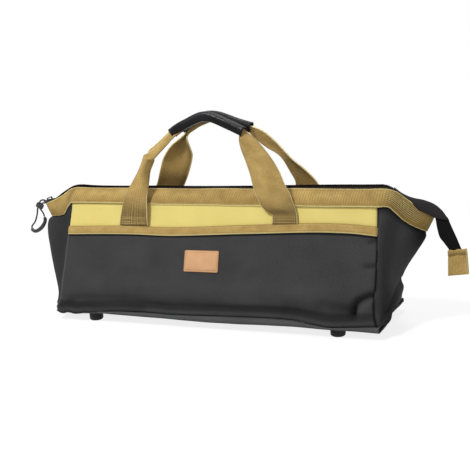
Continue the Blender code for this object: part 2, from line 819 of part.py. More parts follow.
def handle_stations():
    """Centre line of a strap in its plane, with its width and thickness at each station."""
    knee = [Vector((handle_half_span * across, handle_height * rise, 0))
            for rise, across in handle_knee_shares]
    grip_end = Vector((grip_half_length, handle_height - grip_drop, 0))
    crown = Vector((0, handle_height, 0))
    half = knee + [grip_end]
    sizes = [Vector((strap_width * share, strap_thickness, 0)) for share in strap_width_shares]
    sizes.append(Vector((strap_core_width, strap_core_thickness, 0)))
    core = sizes[-1]
    knots = [Vector((-knot.x, knot.y, 0)) for knot in half] + [crown] + list(reversed(half))
    widths = sizes + [core] + list(reversed(sizes))
    centres = smooth_path(knots, strap_steps)
    spans = []
    for index in range(len(widths) - 1):
        spans += [mix(widths[index], widths[index + 1], step / strap_steps)
                  for step in range(strap_steps)]
    spans.append(widths[-1])
    centres[0].y = seam_gap / 2
    centres[-1].y = seam_gap / 2
    first_grip = (len(half) - 1) * strap_steps
    return centres, spans, first_grip, len(centres) - 1 - first_grip


def build_handle(label, side):
    """Webbing handle on its hinge line above the sewn ends, and the sleeve round its middle."""
    hinge, up, out = handle_axes(side)
    middle = hinge - out * (strap_thickness / 2)
    centres, spans, first_grip, last_grip = handle_stations()
    strap_loops = []
    grip_loops = []
    bore_loops = []
    for index, flat in enumerate(centres):
        ahead = centres[min(index + 1, len(centres) - 1)] - centres[max(index - 1, 0)]
        if index in (0, len(centres) - 1):
            ahead = Vector((0, 1 if index == 0 else -1, 0))
        ahead.normalize()
        across = Vector((ahead.y, 0, 0)) - up * ahead.x
        centre = middle + Vector((flat.x, 0, 0)) + up * flat.y
        strap_loops.append(rounded_section(centre, across, out, spans[index].x, spans[index].y))
        if first_grip <= index <= last_grip:
            grip_loops.append(rounded_section(centre, across, out, grip_width, grip_thickness))
            bore_loops.append(rounded_section(centre, across, out,
                                              strap_core_width + 2 * seam_gap,
                                              strap_core_thickness + 2 * seam_gap))
    body = label + "_handle"
    add_loft("handle_strap_" + label, body, "tan_webbing", strap_loops)
    add_sleeve("handle_grip_" + label, body, "grip_vinyl", grip_loops, bore_loops)


def ribbon_sides(first_edge, second_edge, thickness):
    """Both faces of a ribbon between two edges, half its thickness out from each side."""
    rows = [first_edge, second_edge]
    front = []
    back = []
    for row_index, row in enumerate(rows):
        steps = [grid_normal(rows, row_index, column) * (thickness / 2)
                 for column in range(len(row))]
        front.append([point + step for point, step in zip(row, steps)])
        back.append([point - step for point, step in zip(row, steps)])
    return front, back


def tail_edges():
    """Upper and lower edge of the tail from the right wing's zip to its fold."""
    start, end, along, up = zip_line(1)
    begin = end + up * (zip_tape_thickness + seam_gap + chain_height)
    begin.x += seam_gap
    size = Vector((tail_reach, -tail_forward, -tail_fall))
    upper = []
    lower = []
    for shares, edge in ((tail_upper_shares, upper), (tail_lower_shares, lower)):
        for reach, fall, forward in shares:
            edge.append(begin + Vector((size.x * reach, size.y * forward, size.z * fall)))
    return upper, lower


def tail_hinge():
    """Fold of the tail: a point on its line and the line's direction."""
    upper, lower = tail_edges()
    line = (upper[-1] - lower[-1]).normalized()
    return mix(lower[-1], upper[-1], 0.5), line


def build_tail():
    """Free end of the zip: folded over the wing's tip, then hanging, with a webbing tab."""
    upper, lower = tail_edges()
    front, back = ribbon_sides(lower, upper, tail_thickness)
    points, faces = two_faced(front, back)
    add_piece("zip_tail_fold", "shell", "zip_tape", points, faces, smooth=True)
    fold, line = tail_hinge()
    drop = Vector((0, 0, -tail_fold_gap))
    inner = []
    outer = []
    for down, aside in tail_hang_shares:
        centre = fold + drop + Vector((tail_shift * aside, 0, -tail_drop * down))
        inner.append(centre - line * (tail_width / 2))
        outer.append(centre + line * (tail_width / 2))
    front, back = ribbon_sides(inner, outer, tail_thickness)
    points, faces = two_faced(front, back)
    add_piece("zip_tail_end", "zip_tail", "zip_tape", points, faces, smooth=True)
    tilt = math.radians(tab_tilt_degrees)
    across = Vector((math.cos(tilt), 0, math.sin(tilt)))
    down = Vector((math.sin(tilt), 0, -math.cos(tilt)))
    tape_end = mix(inner[-1], outer[-1], 0.5)
    top = tape_end - down * (tab_slot_depth - tab_slot_room)
    half = tab_thickness / 2
    slot_half = tail_thickness / 2 + seam_gap
    section = ((-half, 0), (-slot_half, 0), (-slot_half, tab_slot_depth),
               (slot_half, tab_slot_depth), (slot_half, 0), (half, 0), (half, tab_height),
               (-half, tab_height))
    outline = [top + Vector((0, y, 0)) + down * fall - across * (tab_width / 2)
               for y, fall in section]
    add_prism("tail_tab", "zip_tail", "tan_webbing", outline, across * tab_width)


def centre_over_origin(left_out):
    """Move the bag along X so that its box without the pull's cord pieces is centred."""
    bpy.context.view_layer.update()
    places = []
    for piece in bpy.context.scene.objects:
        if piece.type == "MESH" and piece.name not in left_out and not piece.hide_render:
            places += [(piece.matrix_world @ corner.co).x for corner in piece.data.vertices]
    frames["shell"][0].location.x = -(min(places) + max(places)) / 2
    bpy.context.view_layer.update()


def main():
    clear_scene()
    add_frame("shell", None, Vector((0, 0, 0)))
    for label, side in (("front", -1), ("rear", 1)):
        add_frame(label + "_wall", "shell", Vector((0, side * base_depth / 2, wall_foot)))
        add_frame(label + "_handle", label + "_wall", handle_axes(side)[0])
    add_frame("zip_slider", "shell", slider_place()[0])
    add_frame("zip_ring", "zip_slider", ring_hinge()[0])
    add_frame("zip_pull", "zip_ring", ring_end())
    add_frame("zip_tail", "shell", tail_hinge()[0])
    build_base()
    for label, side in (("front", -1), ("rear", 1)):
        build_wall(label, side)
        build_handle(label, side)
    build_patch()
    for label, side in (("left", -1), ("right", 1)):
        build_gusset(label, side)
        build_wing_band(label, side)
        build_wing_zip(label, side)
    build_zip_stop()
    build_slider()
    build_pull_ring()
    build_pull_cord()
    build_pull_bead()
    build_pull_grip()
    build_tail()
    centre_over_origin(("pull_cord", "pull_bead", "pull_grip"))


main()
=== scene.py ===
import bisect
import math

import bpy
from mathutils import Matrix, Vector, noise


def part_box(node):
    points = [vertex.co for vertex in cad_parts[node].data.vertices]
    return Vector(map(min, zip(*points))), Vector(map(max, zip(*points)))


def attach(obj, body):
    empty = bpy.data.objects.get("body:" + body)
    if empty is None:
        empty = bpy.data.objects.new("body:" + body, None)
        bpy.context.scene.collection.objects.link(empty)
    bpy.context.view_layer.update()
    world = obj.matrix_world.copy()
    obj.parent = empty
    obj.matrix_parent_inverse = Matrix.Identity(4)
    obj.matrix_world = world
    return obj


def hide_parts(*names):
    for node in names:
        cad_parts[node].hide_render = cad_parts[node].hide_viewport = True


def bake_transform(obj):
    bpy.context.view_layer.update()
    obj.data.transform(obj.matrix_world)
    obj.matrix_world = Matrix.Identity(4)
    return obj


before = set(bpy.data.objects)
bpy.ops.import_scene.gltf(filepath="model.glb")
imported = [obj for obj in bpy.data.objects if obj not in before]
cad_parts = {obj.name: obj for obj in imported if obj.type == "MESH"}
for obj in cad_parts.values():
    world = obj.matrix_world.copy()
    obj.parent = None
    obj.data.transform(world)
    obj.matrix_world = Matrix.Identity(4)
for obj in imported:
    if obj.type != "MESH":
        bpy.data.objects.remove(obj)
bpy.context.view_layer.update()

# Sizes in millimetres, in the bag's own frame: x from its middle, y from its middle plane to the
# rear, z from the floor. On a wall, h is measured up its slope. A side is -1 in front and 1 at the
# rear, an end is -1 at the left and 1 at the right.
MM = 0.001
base_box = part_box("base_panel")
middle = (base_box[0][0] + base_box[1][0]) / 2 / MM
base_half = 215.0
base_depth_half = 68.5
base_bottom = 12.0
mouth_half = 209.0
wall_foot = 13.5
wall_lean = math.radians(16.94)
wall_slope = 139.0
wall_top = 146.47
wall_top_half = 28.2
tape_low = 102.5
tape_width = 11.0
root_middles = (-111.5, 92.5)
handle_hinge = 141.3
hinge_half = 31.77
stitch_half = 207
band_stitches = (0.075, 0.925)
cord_radius = 1.1
coil_pitch, coil_radius = 2.0, 0.52
# Thickness of each cloth, webbing and tape
base_thick, lower_thick, upper_thick, gusset_thick = 1.0, 1.2, 1.0, 1.1
seam_thick, band_thick, strap_thick, tab_thick = 1.0, 1.4, 1.7, 1.2
zip_thick, tail_thick, grip_thick, leather_thick = 0.7, 1.0, 1.1, 1.4
canvas_pitch = 0.75
# Points across a wall, across a band of webbing and along a gusset
wall_steps, band_steps, gusset_steps = 141, 13, 37
face_of = {-1: "front", 1: "rear"}
label_of = {-1: "left", 1: "right"}


def place(p):
    """A point of the bag's own frame, in the row frame in metres."""
    return Vector(((p[0] + middle) * MM, p[1] * MM, p[2] * MM))


# Curves and surfaces

def mix(a, b, share):
    return a * (1 - share) + b * share


def ease(share):
    share = min(max(share, 0.0), 1.0)
    return share * share * (3 - 2 * share)


def bell(distance, width):
    return math.exp(-(distance / width) ** 2)


def shares(count):
    return [i / (count - 1) for i in range(count)]


def ripple(x, y, seed, size):
    return noise.noise(Vector((x / size, y / size, seed)))


def lengths(points):
    """How far along its line each point lies."""
    run = [0.0]
    for a, b in zip(points, points[1:]):
        run.append(run[-1] + (b - a).length)
    return run


def between(run, distance):
    """The last point of a line before the distance, and the share of the way on to the next."""
    i = min(bisect.bisect_right(run, distance) - 1, len(run) - 2)
    return i, (distance - run[i]) / max(run[i + 1] - run[i], 1e-6)


def upward(a, b):
    """The direction square to both that points up."""
    up = a.cross(b).normalized()
    return up if up.z > 0 else -up


def knots_of(points):
    knots = [0.0]
    for a, b in zip(points, points[1:]):
        knots.append(knots[-1] + max((Vector(b) - Vector(a)).length, 1e-6))
    return [k / knots[-1] for k in knots]


def smooth(points, share, knots=None):
    """The point at that share of a smooth curve through the points."""
    knots = knots or knots_of(points)
    share = min(max(share, 0.0), 1.0)
    i = min(max(bisect.bisect_right(knots, share) - 1, 0), len(points) - 2)
    a, b = Vector(points[i]), Vector(points[i + 1])
    gap = knots[i + 1] - knots[i]
    before = max(i - 1, 0)
    after = min(i + 2, len(points) - 1)
    lead = (b - Vector(points[before])) / (knots[i + 1] - knots[before])
    trail = (Vector(points[after]) - a) / (knots[after] - knots[i])
    u = (share - knots[i]) / gap
    return (a * (2 * u ** 3 - 3 * u ** 2 + 1) + lead * gap * (u ** 3 - 2 * u ** 2 + u)
            + b * (3 * u ** 2 - 2 * u ** 3) + trail * gap * (u ** 3 - u ** 2))


def along(points, count):
    knots = knots_of(points)
    return [smooth(points, share, knots) for share in shares(count)]


def level(table, x):
    """Smooth height of a table of (place, height) pairs at x."""
    places = [p[0] for p in table]
    if x <= places[0]:
        return table[0][1]
    if x >= places[-1]:
        return table[-1][1]
    span = places[-1] - places[0]
    knots = [(p - places[0]) / span for p in places]
    heights = [(p[1], 0.0) for p in table]
    return smooth(heights, (x - places[0]) / span, knots)[0]


def near(x, h, line):
    """Distance from (x, h) to a line of points."""
    best = 1e9
    spot = Vector((x, h))
    for a, b in zip(line, line[1:]):
        a, b = Vector(a), Vector(b)
        run = b - a
        t = min(max((spot - a).dot(run) / run.length_squared, 0), 1)
        best = min(best, (spot - a - run * t).length)
    return best


# Folds of the walls and of the right gusset: depth (out is positive), width and the line they
# follow, as (x, h) on a wall and as (y, z) on the gusset
front_folds = (
    (-6, 7, (
        (-196, 13), (-154.7, 15), (-109, 16), (-75, 13.5), (-35, 14), (10, 13.5), (50, 11), (90, 12.5),
        (122, 10), (150, 9),
    )),
    (-4.6, 9, ((108, 18), (150, 17), (186, 16))),
    (-4.2, 6.5, ((150, 24), (172, 20), (186, 18))),
    (-1.2, 5, ((-32, 15), (-25, 8))),
    (-1.6, 4, ((213, 103), (205.6, 100.6), (199, 99.4))),
    (-2, 3.6, ((213, 73), (203.1, 71.2), (197, 70.5))),
    (-6.8, 4.6, ((214, 39), (206, 36), (199, 33), (192.3, 28.5), (188.5, 23), (186, 16))),
    (3, 6.5, ((198, 13), (202, 20), (208, 26))),
    (1.2, 7, ((40, 34), (46, 55), (58, 65))),
    (1.1, 9, ((119, 54), (143, 67))),
    (-1, 7, ((30, 28), (34, 48), (44, 66))),
    (-0.9, 8, ((110, 44), (132, 58))),
    (0.9, 12, ((-120, 62), (-70, 82))),
    (-1.2, 9, ((-206, 60), (-198, 36), (-186, 22))),
)
rear_folds = (
    (-1.4, 8, ((150, 28), (96, 20), (40, 16), (-5, 18))),
    (1.3, 11, ((170, 15), (100, 9), (40, 8))),
    (-1.6, 5, ((-212, 60), (-196, 48), (-182, 30))),
    (0.9, 8, ((-60, 25), (-44, 52), (-30, 70))),
    (0.8, 10, ((90, 40), (110, 62), (118, 84))),
)
right_folds = (
    (-3.4, 3.2, ((-58, 20), (-40, 35), (-24, 50), (0, 56.5))),
    (1.8, 5.0, ((-56, 15), (-34, 28), (-16, 42), (0, 47))),
    (-1.6, 4.0, ((-66, 96), (-58, 62), (-54, 34), (-60, 16))),
    (-2.0, 7.0, ((-30, 118), (-36, 92), (-40, 66), (-44, 44))),
)
# Painted shade in the front wall's folds and along its foot: how dark, how wide, and the line
front_painted_shade = (
    (0.6, 4.2, ((214, 42), (206, 39), (199, 36), (192.3, 32), (189.5, 28), (188, 24))),
    (0.5, 3, ((214, 103), (205.6, 101.5), (201, 100.5))),
    (0.5, 3, ((214, 73.5), (203.1, 72), (199, 71.5))),
    (0.35, 9, ((160, 14), (178, 19), (186, 15))),
    (0.3, 5, ((-205, 6), (-150, 6), (-90, 7))),
)
# Heights along the bag: the bottom seam (h), the front edge of the base (z), the seam tape (h)
bottom_seam = (
    (-215, -0.9), (-212, -2.9), (-207, -4), (-201, -1.9), (-190, -3.5), (-176, -1.7), (-165, -1.4),
    (-150, -0.4), (-131, 1.4), (-103, 2.1), (-75, 2.5), (-48, 1.8), (-4, 2.8), (37, 4), (78, 4.7), (112, 4.2),
    (136, 0.6), (158, -2), (180, -0.4), (204, 1.6), (215, 2.4),
)
base_edge = (
    (-215, 12.2), (-212, 10.2), (-207, 9.2), (-201, 11.2), (-190, 9.6), (-176, 11.4), (-150, 12),
    (-111, 11.4), (-60, 10.8), (-10, 9.4), (35, 9.6), (60, 10.2), (112, 10.9), (158, 9.9), (185, 10),
    (197, 9.8), (215, 9.4),
)
seam_tape_low = (
    (-209, 101), (-160, 102.2), (-111, 102.6), (-60, 101.7), (-10, 103.4), (35, 105.6), (60, 106.6),
    (112, 108.8), (140, 109.6), (165, 109.4), (185, 108.6), (197, 107.4), (209, 106.4),
)


def half_width(h):
    return mix(base_half, mouth_half, h / wall_slope)


def softness(side, x, h):
    """How far the slack cloth of a wall stands out from its plane."""
    out = 0.9 * ripple(x, h * 1.3, 3.1 + side, 78) + 0.45 * ripple(x, h, 7.7 + side, 31)
    out += 0.16 * ripple(x, h, 1.7 + side, 12)
    out += 2.0 * math.sin(math.pi * min(max(h / tape_low, 0), 1)) ** 0.8
    out += 2.4 * bell(h - 33, 13.0) * ease((195 - abs(x)) / 40)
    for depth, width, line in front_folds if side < 0 else rear_folds:
        out += depth * bell(near(x, h, line), width)
    out *= ease((wall_slope - h) / 30)
    low = h - level(bottom_seam, x)
    out -= 1.9 * bell(low, 2.0) * ease((x + 158) / 20)
    out += 1.8 * bell(low - 5.0, 3.6)
    edge = half_width(h) - abs(x)
    out -= (2.6 if x > 0 else 0.6) * bell(edge, 2.6)
    if x < 0:
        out += 1.3 * bell(edge - 1.2, 1.3)
    return out


def wall_painted_shade(side, x, h):
    # Painted shade in the front wall's folds; none on the rear wall
    if side > 0:
        return 0.0
    return min(sum(deep * bell(near(x, h, line), width) for deep, width, line in front_painted_shade), 0.9)


def corner_bulge(z):
    """The front wall's left corner swells where the cloth rests on the floor board's edge."""
    return 3.8 * bell(z - 18.0, 7.0)


# How far the front wall's right seam is pulled in over the slack cloth, by height
seam_lean = ((13.5, 0), (22, 2.6), (29, 3.8), (41, 4.2), (54, 2.4), (82, 1), (110, 0))


def wall_y_at(z):
    return base_depth_half - (z - wall_foot) * math.tan(wall_lean)


def wall_point(side, x, h, lift=0.0):
    out = softness(side, x, h) + lift
    y = base_depth_half - h * math.sin(wall_lean) + out * math.cos(wall_lean)
    z = wall_foot + h * math.cos(wall_lean) + out * math.sin(wall_lean)
    if side < 0:
        x -= corner_bulge(z) * ease((-x - 192) / 18) + level(seam_lean, z) * ease((x - 170) / 36)
    return Vector((x, side * y, z))


# The mouth: two bands of webbing that lean together, with the zip on its ridge between them
mouth_foot = (
    (-209, 150.8), (-185, 151), (-120, 150.4), (-50, 149.6), (0, 149.2), (60, 148.4), (130, 147.7),
    (209, 147.4),
)
mouth_edge = (
    (-209, 168), (-200, 167.7), (-185, 167.4), (-150, 167.2), (-102, 167.6), (-35, 166.9), (-7, 167.2),
    (21, 167), (60, 166.4), (106, 165.8), (132, 165.4), (158, 165), (187, 164.5), (209, 165.2),
)
ridge_rise = (
    (-209, 4), (-185, 3), (-150, 2.5), (-102, 2.1), (-35, 2), (-7, 1.6), (21, 1.9), (60, 2.7), (106, 3.9),
    (158, 5), (187, 5.4), (209, 4.8),
)


def band_point(side, x, share, lift=0.0):
    """The mouth band from its lower edge at share 0 to its upper edge at share 1."""
    foot = level(mouth_foot, x)
    out = 1.8 * math.sin(math.pi * share) + 0.5 * ripple(x, share * 20, 5.0 + side, 40)
    out += 0.5 * ripple(x, share * 12, 2.0 + side, 17) * share * (1 - share) * 4 + lift
    y = mix(wall_y_at(foot) + 1.2, 6.0, share)
    z = mix(foot + 0.5 * ripple(x, 0, 9 + side, 50), level(mouth_edge, x), share)
    lean = Vector((0, 0.66, 0.75))
    return Vector((x, side * (y + out * lean.y), z + out * lean.z))


# Folded ends of the mouth: the edges of the front half of each wing, from the wall to the tip
wing_low = {
    -1: (
        (-209, -27, 150.2), (-214, -24.2, 146.2), (-220.7, -20, 141.2), (-226, -16.5, 135.8),
        (-232, -13, 132.3), (-242, -9, 130.5), (-252, -5, 129.3), (-258.5, -2, 128.8), (-260, 0, 128.8),
    ),
    1: (
        (209, -27.7, 147.6), (215.5, -25.2, 147.4), (220.5, -23, 145.8), (224, -21.4, 142),
        (228, -19.4, 137.6), (233, -17, 132), (239, -14, 127), (246, -10.6, 122.4), (252.6, -7, 118.9),
        (257, -3, 116.4), (258.2, 0, 115.4),
    ),
}
wing_high = {
    -1: (
        (-209, -6, 168), (-215, -6, 167.4), (-221, -6, 165.9), (-228, -6, 162), (-235, -6, 157.8),
        (-248, -5.6, 152.2), (-260, -5, 148), (-265.5, -3, 146.2), (-267, 0, 145.7),
    ),
    1: (
        (209, -6, 165.4), (217, -6, 164.4), (226.4, -6, 161), (233, -6, 156.2), (239, -5.8, 151.8),
        (251.6, -5.2, 142.5), (261, -4.4, 137.2), (266.3, -2.6, 134.6), (267.6, 0, 133.9),
    ),
}


def wing_point(end, side, run, share, lift=0.0):
    p = mix(smooth(wing_low[end], run), smooth(wing_high[end], run), share)
    fold = ease((1 - run) / 0.35)
    out = (1.7 * math.sin(math.pi * share)) * (0.35 + 0.65 * fold)
    out += 0.55 * ripple(run * 50, share * 24, 4.0 + end + side, 13) * fold
    out += lift * ease((1 - run) / 0.08 + 0.15)
    push = Vector((end * 0.42, -0.75, 0.5)) * out
    p += push
    if side > 0:
        p.y = -p.y
        p.z -= (2.6 if end > 0 else 1.2) * share * ease(run / 0.1) * (1 - ease((run - 0.7) / 0.2))
    if run < 0.2:
        corner = mix(Vector(wing_low[end][0]), Vector(wing_high[end][0]), share)
        corner += push
        if side > 0:
            corner.y = -corner.y
        p += (band_point(side, end * mouth_half, share, lift * 0.3) - corner) * (1 - ease(run / 0.2))
    return p


# Gussets, by the share of their height: how far out their fold lies in the middle plane, how far
# they swell at the wall's seam, and how round they are at the fold
gusset_fold = {
    -1: (
        (0, 228), (0.05, 239), (0.12, 244), (0.25, 250.5), (0.45, 261), (0.7, 269.5), (0.85, 271),
        (0.95, 268.4), (0.985, 264), (1, 260.5),
    ),
    1: (
        (0, 213), (0.05, 217), (0.105, 221.4), (0.155, 226.8), (0.25, 229), (0.34, 229.8), (0.38, 229.8),
        (0.42, 229.4), (0.5, 231.6), (0.61, 237.5), (0.75, 246.9), (0.93, 258.2), (1, 258.4),
    ),
}
gusset_swell = {
    -1: ((0, 10), (0.045, 23), (0.09, 18), (0.15, 14), (0.25, 15), (0.6, 11), (0.9, 3), (1, 0)),
    1: ((0, 6), (0.03, 17), (0.08, 18), (0.13, 12), (0.3, 8), (0.45, 5), (0.75, 2), (1, 0)),
}
gusset_round = {
    -1: ((0, 42), (0.3, 34), (0.7, 18), (0.9, 8), (1, 3)),
    1: ((0, 42), (0.3, 30), (0.45, 22), (0.7, 14), (0.9, 6), (1, 3)),
}


def gusset_section(end, run, height, side=-1):
    """A level cross-section, from the wall's seam at run 0 to the fold at run 1."""
    seam_x = mix(base_half, mouth_half, height)
    seam_y = wall_y_at(mix(wall_foot, wall_top, height)) - 0.4
    a = Vector((seam_x, seam_y))
    d = Vector((level(gusset_fold[end], height), 0))
    swell = level(gusset_swell[end], height)
    if end > 0 and side > 0:
        swell = min(swell, 3.2)
    b = a + Vector((swell, -mix(0.32, 0.2, height) * seam_y))
    c = d + Vector((0, level(gusset_round[end], height)))
    s = run
    return a * (1 - s) ** 3 + b * 3 * s * (1 - s) ** 2 + c * 3 * s * s * (1 - s) + d * s ** 3


def gusset_point(end, side, run, height, lift=0.0):
    flat = gusset_section(end, run, height, side)
    top = smooth(wing_low[end], run)
    z = mix(wall_foot, top.z, height)
    top_flat = gusset_section(end, run, 1.0, side)
    settle = max(height, 0) ** 3
    x = flat.x + (abs(top.x) - top_flat.x) * settle
    y = flat.y + (-top.y - top_flat.y) * settle
    calm = math.sin(math.pi * run) ** 0.5 if 0 < run < 1 else 0
    out = lift + calm * (1.3 * ripple(y * side, z, 6.0 + end, 44) + 0.6 * ripple(y * side, z, 8.0 + end, 19))
    out -= (0.5 if end < 0 else 1.4) * bell(run, 0.035)
    out -= 1.0 * bell(z - wall_foot - 2.0, 1.6)
    if end > 0:
        for depth, width, line in right_folds:
            out += depth * bell(near(y * side, z, line), width)
        if side > 0:
            out -= 8.5 * bell(z - 43, 25.0) * 4 * run * (1 - run)
    x += out * 0.8
    y += out * 0.55 * ease(abs(y) / 12)
    if side < 0:
        x += (corner_bulge(z) if end < 0 else -level(seam_lean, z)) * (1 - ease(run / 0.4))
    return Vector((end * x, side * y, z))


def gusset_painted_shade(end, run, height):
    # Painted shade on the right gusset: at its tip under the wing and low down; none on the left
    if end < 0:
        return 0.0
    tip = 0.9 * ease((height - 0.62) / 0.34) * ease((run - 0.5) / 0.4)
    low = 0.55 * ease((0.42 - height) / 0.3) * ease((run - 0.06) / 0.2)
    return tip + low


# Looks

def tint(r, g, b):
    """Linear colour of an sRGB colour of 0 to 255."""
    out = []
    for value in (r, g, b):
        c = value / 255
        out.append(c / 12.92 if c <= 0.04045 else ((c + 0.055) / 1.055) ** 2.4)
    return (*out, 1.0)


def node(tree, kind, inputs=None, **settings):
    made = tree.nodes.new("ShaderNode" + kind)
    for key, value in settings.items():
        setattr(made, key, value)
    for key, value in (inputs or {}).items():
        if isinstance(value, Value):
            value = value.socket
        if isinstance(value, bpy.types.NodeSocket):
            tree.links.new(value, made.inputs[key])
        else:
            made.inputs[key].default_value = value
    return made


def add(tree, kind, inputs=None, out=0, **settings):
    return Value(tree, node(tree, kind, inputs, **settings).outputs[out])


def calc(tree, operation, a, b=0.0):
    return add(tree, "Math", {0: a, 1: b}, operation=operation)


class Value:
    """An output of a node tree to reckon with: each sum or product is a math node."""

    def __init__(self, tree, socket):
        self.tree, self.socket = tree, socket

    def __add__(self, other):
        return calc(self.tree, "ADD", self, other)

    def __sub__(self, other):
        return calc(self.tree, "SUBTRACT", self, other)

    def __rsub__(self, other):
        return calc(self.tree, "SUBTRACT", other, self)

    def __mul__(self, other):
        return calc(self.tree, "MULTIPLY", self, other)

    def __abs__(self):
        return calc(self.tree, "ABSOLUTE", self)

    def fit(self, low, high, to_low=0.0, to_high=1.0):
        return add(self.tree, "MapRange", {0: self, 1: low, 2: high, 3: to_low, 4: to_high})

    def stripes(self, pitch):
        """0 to 1 and back, once for each pitch of the value."""
        return calc(self.tree, "SINE", self * (2 * math.pi / pitch)).fit(-1, 1)


class Look:
    """A material whose colour is laid on in coats, each where its share says."""

    def __init__(self, name, slot, specular=0.5, sheen=0.0, metallic=0.0):
        self.material = bpy.data.materials.new(name)
        self.material.use_nodes = True
        self.tree = self.material.node_tree
        self.shader = self.tree.nodes["Principled BSDF"]
        for key, value in (("Metallic", metallic), ("Specular IOR Level", specular),
                           ("Sheen Weight", sheen), ("Sheen Roughness", 0.5)):
            self.shader.inputs[key].default_value = value

    def noise(self, scale, detail=3.0):
        return add(self.tree, "TexNoise", {"Vector": self.where, "Scale": scale, "Detail": detail})

    def lay(self, share, colour, over=None):
        inputs = {0: share, 6: over or self.colour, 7: colour}
        self.colour = add(self.tree, "Mix", inputs, 2, data_type="RGBA")

    def finish(self, roughness, height, depth):
        bump = add(self.tree, "Bump", {"Height": height, "Strength": 1.0, "Distance": depth * MM})
        for key, value in (("Base Color", self.colour), ("Roughness", roughness), ("Normal", bump)):
            self.tree.links.new(value.socket, self.shader.inputs[key])
        return self.material


class Cloth(Look):
    """A look in the cloth's own coordinates: u across and v along it, in millimetres and as shares."""

    def __init__(self, name, slot, specular, sheen=0.0):
        super().__init__(name, slot, specular, sheen)
        self.where = self.layer("size")
        self.u, self.v = self.parts(self.where)
        self.share_u, self.share_v = self.parts(self.layer("share"))

    def layer(self, name):
        return add(self.tree, "UVMap", uv_map=name)

    def parts(self, vector):
        outputs = node(self.tree, "SeparateXYZ", {0: vector}).outputs
        return Value(self.tree, outputs[0]), Value(self.tree, outputs[1])


shadow = tint(4, 4, 5)


def canvas(name, dark, light, worn, slot="black_canvas", lines=()):
    """Plain-weave canvas: crossing threads, rubbed where it has been handled. Each line is painted
    shade along a seam or in a fold, or a lighter line in the worn colour if the last number is below
    zero: the axis of the share, its place, its width and how dark it is. The piece's shade layer adds
    painted shade in its folds."""
    look = Cloth(name, slot, 0.12, 0.02)
    over = add(look.tree, "TexChecker", {"Vector": look.where, "Scale": 1 / canvas_pitch}, 1)
    thread = look.u.stripes(canvas_pitch) * over + look.v.stripes(canvas_pitch) * (1.0 - over)
    slub = (look.u + look.noise(0.12, 2.0) * 9.0).stripes(2.6)
    fleck = look.noise(0.9)
    look.lay(look.noise(0.02, 2.0).fit(0.3, 0.7), light, dark)
    for share in (slub * 0.07, fleck.fit(0.5, 0.8) * 0.4, thread * 0.14):
        look.lay(share, worn)
    for axis, spot, width, depth in lines:
        gap = abs((look.share_u if axis == "u" else look.share_v) - spot)
        # Painted shade where the depth is above zero; a lighter line in the worn colour where it is below
        look.lay(gap.fit(width * 0.35, width, abs(depth), 0.0), shadow if depth > 0 else worn)
    # Painted shade in the folds, from the piece's shade layer
    look.lay(look.parts(look.layer("shade"))[0], shadow)
    return look.finish(fleck.fit(0.3, 0.7, 0.78, 0.92), thread * 0.6 + look.noise(0.35) * 0.8, 0.16)


